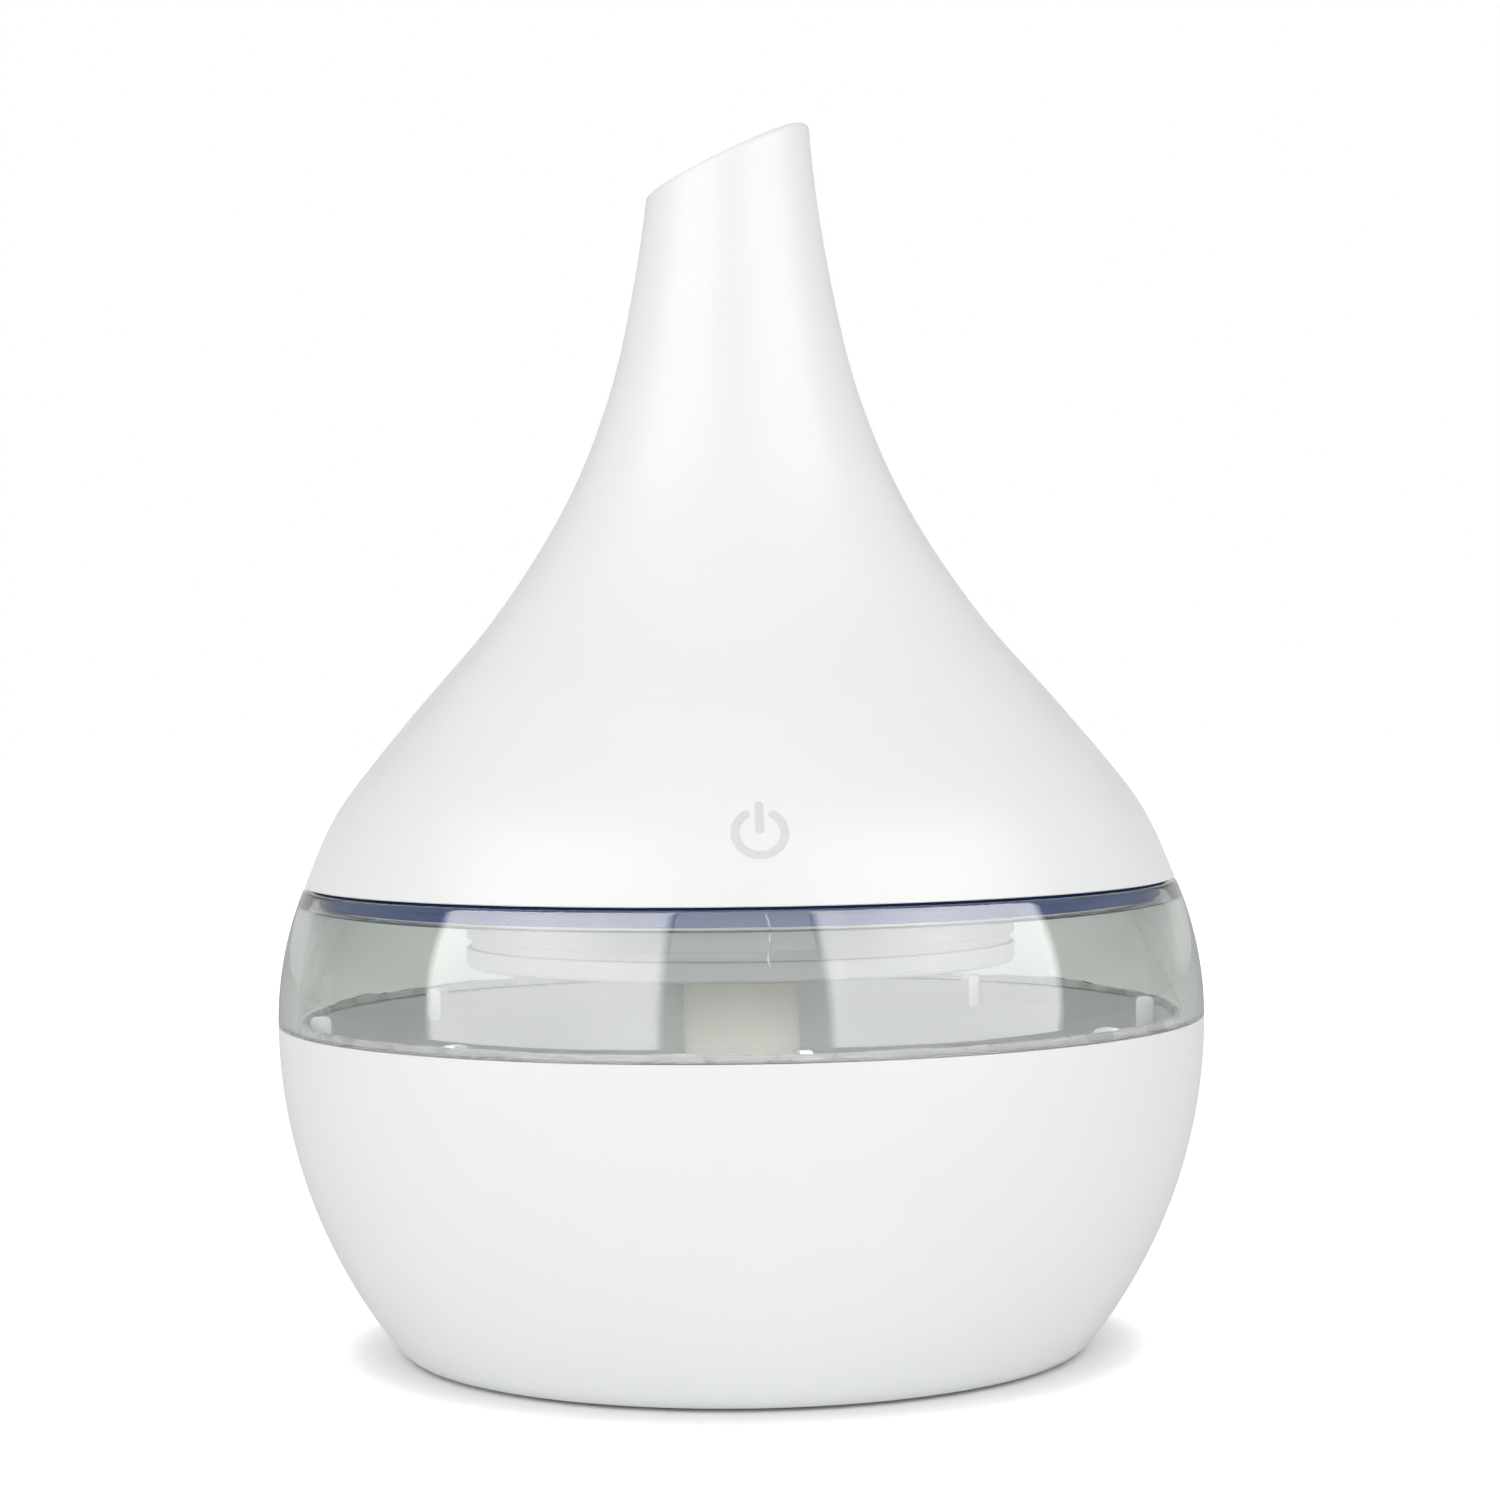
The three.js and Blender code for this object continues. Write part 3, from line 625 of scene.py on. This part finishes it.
def cover_shell():
    """The drop, open below, its wall turned over into a rounded lip along the slanted mouth."""
    rows_up, lip_rows = 110, 8
    rim_rows = 2  # rows that the wall's slant would carry below the rim
    lip = COVER_WALL / 2
    columns = []
    for j in range(FINE):
        azimuth = 360 * j / FINE
        low, high = 0.5, 1.0
        for _ in range(40):
            middle = (low + high) / 2
            point = cover_side(middle)[0]
            under = point.y < mouth_height(azimuth, point.x) - lip
            low, high = (middle, high) if under else (low, middle)
        way_up = [low * (i / (rows_up - 1)) for i in range(rows_up)]
        column = [cover_side(t)[0] for t in way_up]
        top, along = cover_side(low)
        side, reach = outward(along), 0.72 * lip
        centre = top - side * lip
        for k in range(1, lip_rows):
            a = math.pi * k / lip_rows
            column.append(centre + side * lip * math.cos(a) + along * reach * math.sin(a))
        for t in reversed(way_up[rim_rows + 1:]):
            point, direction = cover_side(t)
            column.append(point - outward(direction) * COVER_WALL)
        inner = cover_side(0.004)[0].x - COVER_WALL * 1.08
        column += [Vector((inner, COVER_BOTTOM_Z + 0.25)), Vector((inner + 0.25, COVER_BOTTOM_Z))]
        column[0] = Vector((COVER_OUTLINE[0][0] - 0.22, COVER_BOTTOM_Z))
        column.insert(1, Vector((COVER_OUTLINE[0][0] - 0.03, COVER_BOTTOM_Z + 0.1)))
        columns.append([around(azimuth, p.x, p.y) for p in column])
    rows = len(columns[0])
    points = [columns[j][i] for i in range(rows) for j in range(FINE)]
    return mesh_piece("cover_shell", points, grid_faces(rows, FINE, True), looks["gloss_white"])


def spout_cover():
    """The shell with the inlet at its back: a wall inside, a recess down to it and a slot through it."""
    shell = cover_shell()
    heights = [PORT_WALL_LOW - 1.4 + 0.5 * i for i in range(29)]
    inside_shell = [(cover_radius(z) - 0.6, z) for z in heights]
    core = turned("core", [(0, heights[0]), *inside_shell, (0, heights[-1])], blank, MIDDLE)
    wall = block((-8.2, 40.7, PORT_WALL_LOW), (8.2, 47, PORT_WALL_HIGH), 0.6, "y")
    combine(wall, "INTERSECT", core)
    combine(shell, "UNION", wall)
    recess = block((-6, 42.6, PORT_Z - 3.6), (6, 52, PORT_Z + 3.6), 1.6, "y", 8)
    slot = block((-4.2, 39, PORT_Z - 1.7), (4.2, 46, PORT_Z + 1.7), 1.0, "y", 6)
    combine(shell, "DIFFERENCE", recess, slot)
    ride(shell, "cover", "gloss_white", "spout_cover")


def power_mark():
    """A printed power mark: an open ring and a bar, each a skin that follows the cover."""
    radius, stroke, gap = 2.45, 0.9, math.radians(34)
    slope = 0.87  # height gained per millimetre up the cover's side

    def on_cover(u, v, lift):
        z = MARK_Z + v * slope
        r = cover_radius(z) + lift
        return around(MARK_AZIMUTH + math.degrees(u / r), r, z)

    def stroke_piece(name, spine):
        """A flat stroke with round ends along a spine of (u, v) points."""
        left, right = [], []
        for i, p in enumerate(spine):
            along = (spine[min(i + 1, len(spine) - 1)] - spine[max(i - 1, 0)]).normalized()
            side = Vector((-along.y, along.x)) * stroke / 2
            left.append(p + side)
            right.append(p - side)
        caps = []
        for end, before in ((spine[-1], spine[-2]), (spine[0], spine[1])):
            along = (end - before).normalized()
            side = Vector((-along.y, along.x))
            caps.append([end + (side * math.cos(a) + along * math.sin(a)) * stroke / 2
                         for a in (math.pi * k / 10 for k in range(1, 10))])
        loop = left + caps[0] + right[::-1] + caps[1]
        n = len(loop)
        points = [on_cover(p.x, p.y, lift) for lift in (0.03, -0.15) for p in loop]
        m = len(left)
        sheet = [(i, i + 1, n - 9 - i - 2, n - 9 - i - 1) for i in range(m - 1)]
        sheet += [tuple([m - 1, *range(m, m + 9), m + 9]), tuple([n - 10, *range(n - 9, n), 0])]
        under = [tuple(n + k for k in reversed(face)) for face in sheet]
        walls = [(i, n + i, n + (i + 1) % n, (i + 1) % n) for i in range(n)]
        mark = mesh_piece(name, points, sheet + under + walls, looks["ink"])
        ride(mark, "cover", "gloss_white")

    arc = [Vector((radius * math.sin(a), radius * math.cos(a)))
           for a in (gap + (2 * math.pi - 2 * gap) * k / 60 for k in range(61))]
    stroke_piece("power_mark_ring", arc)
    stroke_piece("power_mark_bar", [Vector((0, 3.05 - 2.7 * k / 8)) for k in range(9)])


def lower_plate():
    """The plate under the cover, with the round cup that hangs into the tank."""
    corners = [
        (9.2, 42.5, 0.3), (30.3, 42.5, 0.6), (30.3, 44.7, 0.1), (29.7, 44.7, 0.1), (29.7, 45.7, 0.1),
        (30.3, 45.7, 0.1), (30.3, 51.75, 0.8), (43.4, 51.75, 0.5), (43.4, 49.6, 0.3), (44.85, 49.6, 0.5),
        (44.85, 51.75, 0.1), (44.95, 51.75, 0), (44.95, 53.25, 0.2), (28.7, 53.25, 0.5), (28.7, 44.3, 0.8),
        (9.2, 44.3, 0.3),
    ]
    # The cup's grey is painted shade; the plate is white plastic.
    plate = turned("under_plate", rounded(corners, 4), looks["cup_painted_shade_grey"], FINE)
    holes = [place(rod(1.5, 50, 55), 0, around(a, PLATE_SCREW_CIRCLE)) for a in CORNERS]
    combine(plate, "DIFFERENCE", *holes)
    ride(plate, "cover", "inner_white", "lower_plate")


def wick_socket():
    """The tube that takes the sleeve from below, with a bayonet groove, and the atomiser's seat on top."""
    corners = [
        (6.75, 42.5, 0.3), (9, 42.5, 0.3), (9, 44.5, 0.1), (12.5, 44.5, 0.2), (12.5, 46.1, 0.2),
        (9, 46.1, 0.4), (9, 61.5, 0.6), (13.4, 65.3, 0.6), (13.4, 69.6, 0.2), (12.2, 69.6, 0.2),
        (12.2, 66.9, 0.3), (4.6, 66.9, 0.2), (4.6, 63.4, 0.2), (6.75, 63.4, 0.2), (6.75, 48.2, 0.1),
        (7.75, 48.2, 0.1), (7.75, 46.2, 0.1), (6.75, 46.2, 0.1),
    ]
    socket = turned("sleeve_socket", rounded(corners, 3), looks["inner_white"], MIDDLE)
    entry = place(block((-1.5, -7.75, 41.5), (1.5, 7.75, 47.9), 0.3), 135)
    combine(socket, "DIFFERENCE", entry)
    ride(socket, "cover", "inner_white", "wick_socket")


def mist_tube():
    """The tube up to the mouth, with two ears on its flange."""
    foot, top, inner = DUCT_FOOT_Z, DUCT_FOOT_Z + 1.5, 6.8
    corners = [
        (inner, foot, 0.2), (13.4, foot, 0.2), (13.4, top, 0.3), (9, top, 0.8), (8, 73.8, 0.5),
        (8, 116, 0.4), (inner, 116, 0.4),
    ]
    duct = turned("mist_duct", rounded(corners, 4), looks["inner_white"], MIDDLE)
    ear_outline = rounded([(0, foot, 0), (2.4, foot, 0.2), (2.4, top, 0.2), (0, top, 0)], 3)
    for side in DUCT_SCREW_AZIMUTHS:
        ear = place(turned("tool", ear_outline, blank, TOOL), 0, around(side, DUCT_SCREW_CIRCLE))
        bridge = place(block((-1.6, -14.6, foot + 0.01), (1.6, -11, top - 0.01), 0.2), side)
        combine(duct, "UNION", ear, bridge)
        combine(duct, "DIFFERENCE", place(rod(1.1, 69, 74), 0, around(side, DUCT_SCREW_CIRCLE)))
    ride(duct, "cover", "inner_white", "mist_tube")


def round_ring(name, radius, section, z, body, slot, node):
    """An O-ring."""
    outline = [(radius + section * math.cos(a), z + section * math.sin(a))
               for a in (2 * math.pi * k / 16 for k in range(16))]
    ride(turned(name, outline, looks[slot], RINGS, crease=60), body, slot, node)


def atomiser():
    """The ceramic ring and its steel membrane, gripped by a silicone grommet."""
    z = 67.0
    corners = [
        (7.2, z, 0.3), (12.1, z, 0.4), (12.1, z + 3.6, 0.4), (7.2, z + 3.6, 0.3), (7.2, z + 2.4, 0.2),
        (10.3, z + 2.4, 0.1), (10.3, z + 1.2, 0.1), (7.2, z + 1.2, 0.2),
    ]
    grommet = turned("atomiser_grommet", rounded(corners, 3), looks["pale_silicone"], RINGS)
    ride(grommet, "cover", "pale_silicone", "atomiser_seal")
    plate = rounded([(4.3, 68.5, 0.1), (10, 68.5, 0.1), (10, 69.1, 0.1), (4.3, 69.1, 0.1)], 2)
    ride(turned("atomiser_ring", plate, looks["ceramic"], RINGS), "cover", "ceramic", "atomiser_disc")
    dome = [(0, 69.2), (6.4, 69.2), (6.4, 69.4), (2.6, 69.4), (2.2, 69.5), (1.2, 69.6), (0, 69.62)]
    ride(turned("atomiser_membrane", dome, looks["steel"], RINGS), "cover", "steel", "atomiser_mesh")


def screw(name, azimuth, circle, z, length, shank, head, up, node):
    """A pan-head screw with a cross recess and a turned thread. Its point is up, or else down."""
    outline = rounded([(0, -1.5, 0), (head * 0.72, -1.5, 0.5), (head, -0.6, 0.4), (head, 0, 0.1)], 5)
    outline.append((shank, 0))
    pitch = 0.8
    for k in range(int((length - 1.2) / pitch)):
        base = 0.3 + k * pitch
        outline += [(shank * 0.82, base), (shank, base + pitch / 2), (shank * 0.82, base + pitch * 0.9)]
    outline += [(shank * 0.3, length), (0, length)]
    body = turned(name, outline, looks["steel"], SMALL, crease=40)
    arm = head * 0.62
    cross = block((-arm, -0.28, -2), (arm, 0.28, -0.7), 0.1)
    combine(cross, "UNION", block((-0.28, -arm, -2), (0.28, arm, -0.7), 0.1))
    combine(body, "DIFFERENCE", cross)
    turn = 17 * azimuth  # of the cross in the head
    place(body, turn, around(azimuth, circle, z), flip=not up)
    ride(body, "cover", "steel", node)


def screws():
    for i, azimuth in enumerate(CORNERS, 1):
        screw(f"under_screw_{i}", azimuth, PLATE_SCREW_CIRCLE, 51.65, 9.5, 1.1, 2.3, True,
              f"plate_screw_{i}")
    for i, azimuth in enumerate((60, 150, 240), 1):
        screw(f"board_screw_{i}", azimuth, BOARD_SCREW_CIRCLE, 56.65, 3.6, 0.85, 1.7, False,
              f"pcb_screw_{i}")
    for i, azimuth in enumerate(DUCT_SCREW_AZIMUTHS, 1):
        screw(f"duct_screw_{i}", azimuth, DUCT_SCREW_CIRCLE, 72.3, 5.5, 0.85, 1.7, False,
              f"tube_screw_{i}")


def helix(radius, height, turns, steps, base):
    """Points up a coil round Z."""
    return [Vector((radius * math.cos(a), radius * math.sin(a), base + height * k / steps))
            for k, a in ((k, 2 * math.pi * turns * k / steps) for k in range(steps + 1))]


def touch_contact():
    """The spring that lies along Y between the touch board and the cover."""
    path = [Vector((p.x, -33 - p.z, 59.2 + p.y)) for p in helix(2.4, 7.6, 4, 128, 0)]
    ride(tube("touch_contact", path, 0.3, looks["brass"]), "cover", "brass", "touch_spring")


def leads():
    """The atomiser's two wires, each a smooth curve through four points."""
    steps = 24
    for i, (side, colour) in enumerate(((-1, "wire_red"), (1, "wire_black")), 1):
        stops = [Vector((3 * side, -19, 56.85)), Vector((3.2 * side, -19.3, 61)),
                 Vector((2.4 * side, -17.2, 66.5)), Vector((1.6 * side, -14.2, 69.6))]
        path = []
        for k in range(steps + 1):
            x = k / steps * 3
            n = min(int(x), 2)
            p0, p1, p2, p3 = (stops[min(max(n + s, 0), 3)] for s in (-1, 0, 1, 2))
            f = x - n
            path.append(0.5 * (2 * p1 + (p2 - p0) * f + (2 * p0 - 5 * p1 + 4 * p2 - p3) * f ** 2
                               + (3 * p1 - p0 - 3 * p2 + p3) * f ** 3))
        ride(tube(f"lead_{i}", path, 0.45, looks[colour]), "cover", colour, f"atomiser_lead_{i}")


# ---- Wick, sleeve and spring ---------------------------------------------------------------------

def wick_sleeve():
    """The tube round the wick: water slots at its foot, bayonet lugs, and an O-ring groove above them."""
    z = SLEEVE_BOTTOM_Z
    corners = [
        (1.5, z, 0.2), (6.4, z, 0.7), (6.4, 54, 0.1), (5.65, 54, 0.1), (5.65, 55.4, 0.1), (6.4, 55.4, 0.1),
        (6.4, SLEEVE_TOP_Z, 0.4), (4.6, SLEEVE_TOP_Z, 0.3), (4.6, z + 1.6, 0.5), (1.5, z + 1.6, 0.2),
    ]
    sleeve = turned("wick_tube", rounded(corners, 5), looks["sleeve_cream"], MIDDLE)
    for side in (90, 270):
        combine(sleeve, "UNION", place(block((-1, -7.5, 46.5), (1, -5.5, 47.9), 0.25), side))
    for side in (45, 135):
        slots = block((-1.1, -8, z + 3.4), (1.1, 8, z + 17), 1.0, "y", 8)
        combine(sleeve, "DIFFERENCE", place(slots, side))
    ride(sleeve, "sleeve", "inner_white", "wick_sleeve")


def wick():
    """The cotton cord, with frayed sides and rounded ends."""
    low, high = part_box("wick")
    bottom, top = low.z / MM, high.z / MM
    radius, rows = 4, 60

    def ripple(azimuth, r, z):
        p = around(azimuth, 2.2, z * 0.12)
        if r < radius:
            return r * (1 + 0.012 * noise.noise(p)), z
        return r - 0.09 * abs(noise.noise(p * 1.7)), z
    side = [(radius, bottom + 0.6 + (top - bottom - 1.2) * k / rows) for k in range(rows + 1)]
    outline = [(0, bottom), (2.6, bottom), (3.6, bottom + 0.15), *side,
               (3.6, top - 0.15), (2.6, top), (0, top)]
    ride(turned("cotton_wick", outline, looks["cotton"], RINGS, ripple, 50), "wick", "cotton", "wick")


def wick_spring():
    """The coil stands on the sleeve's floor, as tall as the CAD spring."""
    low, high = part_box("wick_spring")
    wire = 0.35
    base, height = low.z / MM + wire, (high.z - low.z) / MM - 2 * wire
    coil = tube("coil_spring", helix(3.4, height, 5, 200, base), wire, looks["steel"])
    ride(coil, "sleeve", "steel", "wick_spring")
    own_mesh(coil)


def repaint():
    """CAD nodes whose shape is right keep it and get a finer material."""
    for look, nodes in {
        "board_green": ("main_pcb", "touch_board"),
        "steel": ("usb_socket",),
        "chip_black": ("control_chip", "inductor", "capacitor"),
        "led_yellow": ("led_1", "led_2", "led_3"),
    }.items():
        for node in nodes:
            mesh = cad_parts[node].data
            mesh.materials.clear()
            mesh.materials.append(looks[look])


# ---- Studio and camera ---------------------------------------------------------------------------

ROOM_GREY = (0.425, 0.465, 0.435)  # the dim room straight behind the object, seen only through the clear ring
ROOM_ASIDE = (0.545, 0.595, 0.55)  # and to its left and right
TENT = 0.87  # light on every matt surface, from all round
GLEAM = 0.12  # the walls as they mirror in glossy surfaces, low in front of the object
GLEAM_BEHIND = 0.65  # low behind it
GLEAM_HIGH = 0.03  # higher up
GLEAM_OVERHEAD = 3.2  # and high in front, where a light hangs
SIDE_LIGHT = 1.85  # light that falls in through the clear ring, from all round
UPPER_LIGHT = 5.8  # and from above the horizon in front
FLOOR_WHITE = (0.96, 0.96, 0.96)
FLOOR_GLEAM = 0.5  # the floor as it mirrors in glossy surfaces
FLOOR_GLOW = 0.45  # what the camera sees of the floor beyond the light on it
SOFTBOX_GLOW = 9.4
FILL_POWER = 5.0  # watts


def grey(level):
    return (level, level, level)


def rectangle(name, half_width, half_length, material):
    """A flat sheet about the origin, facing up."""
    corners = [(x * half_width, y * half_length, 0) for x, y in ((-1, -1), (1, -1), (1, 1), (-1, 1))]
    return mesh_piece(name, corners, [(0, 1, 2, 3)], material)


def studio():
    floor = rectangle("floor", 3000, 3000, floor_material())
    studio_world()
    cloth = softbox_cloth()
    softbox("softbox_left", -51, 6.5, cloth)
    softbox("softbox_right", 52.5, -5, cloth)
    area_light("front_fill", around(-6, 1300, 250), (1.6, 0.9), FILL_POWER)


def floor_material():
    """A pale floor that the camera sees as white paper but for the shadow at the object's foot. Through the
    clear ring it is the dim room's floor, and glossy surfaces mirror it dimmer than it is."""
    pale = Finish("floor_pale", FLOOR_WHITE, 0.6)
    pale.set("Specular IOR Level", 0.0)
    path = pale.node("ShaderNodeLightPath").outputs
    aside = pale.between(pale.math("ABSOLUTE", pale.xyz()["X"]), 0, 1, 30 * MM, 110 * MM)
    room_floor = pale.tones(aside, (0, ROOM_GREY), (1, ROOM_ASIDE))
    seen = pale.mix(path["Is Glossy Ray"], FLOOR_WHITE, grey(FLOOR_GLEAM))
    pale.link(pale.mix(path["Is Transmission Ray"], seen, room_floor), "Base Color")
    openness = pale.node("ShaderNodeAmbientOcclusion", Distance=8 * MM)
    openness.samples = 8
    glow = pale.between(openness.outputs["AO"], 0.0, FLOOR_GLOW, 0.45, 0.95)
    pale.set("Emission Color", (1, 1, 1, 1))
    pale.link(pale.math("MULTIPLY", glow, path["Is Camera Ray"]), "Emission Strength")
    return pale.material


def studio_world():
    """White walls all round. The camera sees pure white, glossy surfaces mirror dimmer walls, and rays that
    come through the clear ring find the dim room, with light high in front."""
    world = bpy.data.worlds.new("studio_world")
    bpy.context.scene.world = world
    world.use_nodes = True
    nodes = Nodes(world.node_tree)
    path = nodes.node("ShaderNodeLightPath").outputs
    direction = nodes.node("ShaderNodeTexCoord").outputs["Generated"]
    along = nodes.node("ShaderNodeSeparateXYZ", Vector=direction).outputs

    def rising(axis, low, high):
        """Goes smoothly from 0 to 1 while the direction's part along an axis goes from low to high."""
        step = nodes.node("ShaderNodeMapRange", Value=along[axis], From_Min=low, From_Max=high)
        step.interpolation_type = "SMOOTHSTEP"
        return step.outputs["Result"]

    gleam = nodes.mix(rising("Y", 0.5, 0.9), grey(GLEAM), grey(GLEAM_BEHIND))
    gleam = nodes.mix(rising("Z", 0.08, 0.26), gleam, grey(GLEAM_HIGH))
    overhead = nodes.math("MULTIPLY", rising("Z", 0.40, 0.50), rising("Y", -0.05, -0.2))
    gleam = nodes.mix(overhead, gleam, grey(GLEAM_OVERHEAD))

    aside = nodes.math("ADD", rising("X", 0.03, 0.1), rising("X", -0.03, -0.1))
    room = nodes.mix(aside, ROOM_GREY, ROOM_ASIDE)
    room = nodes.mix(rising("Z", 0.03, 0.2), room, grey(GLEAM_HIGH))
    high_in_front = nodes.math("MULTIPLY", rising("Z", 0.0, 0.14), rising("Y", 0.2, -0.3))
    light_inside = nodes.mix(high_in_front, grey(SIDE_LIGHT), grey(UPPER_LIGHT))
    on_inside = nodes.math("MINIMUM", path["Diffuse Depth"], 1)
    through_ring = nodes.mix(on_inside, room, light_inside)

    shown = nodes.mix(path["Is Glossy Ray"], grey(TENT), gleam)
    shown = nodes.mix(path["Is Transmission Ray"], shown, through_ring)
    shown = nodes.mix(path["Is Camera Ray"], shown, grey(1))
    nodes.tree.links.new(shown, nodes.tree.nodes["Background"].inputs["Color"])


def area_light(name, place_mm, size, power):
    """A rectangular lamp that faces the object and is not mirrored in it."""
    lamp = bpy.data.lights.new(name, "AREA")
    lamp.shape = "RECTANGLE"
    lamp.size, lamp.size_y = size
    lamp.energy = power
    panel = bpy.data.objects.new(name, lamp)
    bpy.context.scene.collection.objects.link(panel)
    panel.location = place_mm * MM
    aim = Vector((0, 0, 60)) * MM - panel.location
    panel.rotation_euler = aim.to_track_quat("-Z", "Y").to_euler()
    panel.visible_glossy = False


def softbox_cloth():
    """Glowing cloth, brightest round its middle, that fades towards its sides and its foot."""
    cloth = Finish("softbox_cloth", (0, 0, 0), 1.0)
    xyz = cloth.xyz()
    from_middle = cloth.node("ShaderNodeVectorMath", _0=cloth.where)
    from_middle.operation = "LENGTH"
    sides = cloth.between(cloth.math("ABSOLUTE", xyz["X"]), 1, 0, 0.47, 0.525)
    foot = cloth.between(xyz["Y"], 0.8, 1, -0.4, 0.1)
    middle = cloth.between(from_middle.outputs["Value"], 1.35, 1, 0.0, 0.35)
    glow = SOFTBOX_GLOW
    for share in (sides, foot, middle):
        glow = cloth.math("MULTIPLY", share, glow)
    cloth.set("Emission Color", (1, 1, 1, 1))
    cloth.link(glow, "Emission Strength")
    return cloth.material


def softbox(name, azimuth, roll, cloth):
    """A tall softbox that only mirrors in glossy surfaces. It leans over the object and rolls outward at its
    top."""
    lean = 9.6
    panel = rectangle(name, 525, 560, cloth)
    panel.location = around(azimuth, 807, 450) * MM
    panel.rotation_euler = (
        Matrix.Rotation(math.radians(azimuth), 4, "Z") @ Matrix.Rotation(math.radians(90 - lean), 4, "X")
        @ Matrix.Rotation(math.radians(roll), 4, "Z")
    ).to_euler()
    panel.visible_camera = False
    panel.visible_diffuse = False
    panel.visible_transmission = False
    panel.visible_shadow = False


def camera():
    """In front of the object, level with the lower half of the cover and tilted slightly down."""
    data = bpy.data.cameras.new("camera")
    data.sensor_width = 36
    data.lens = 84
    data.clip_start = 0.01
    eye = bpy.data.objects.new("camera", data)
    bpy.context.scene.collection.objects.link(eye)
    pitch, turn, roll = math.radians(-1.243), -0.00336, -0.0125
    eye.matrix_world = (
        Matrix.Translation((0, -0.3882, 0.0743)) @ Matrix.Rotation(turn, 4, "Z")
        @ Matrix.Rotation(math.pi / 2 + pitch, 4, "X") @ Matrix.Rotation(roll, 4, "Z")
    )
    bpy.context.scene.camera = eye


camera()
base_bowl()
clear_ring()
glue_bead()
seal()
feet()
spout_cover()
power_mark()
lower_plate()
wick_socket()
mist_tube()
round_ring("duct_ring", 9.05, 0.9, 112, "cover", "pale_silicone", "duct_o_ring")
round_ring("sleeve_ring", 6.17, 0.5, 54.7, "sleeve", "pale_silicone", "sleeve_o_ring")
atomiser()
screws()
touch_contact()
leads()
wick_sleeve()
wick()
wick_spring()
repaint()
studio()
bpy.context.scene.view_settings.view_transform = "Standard"
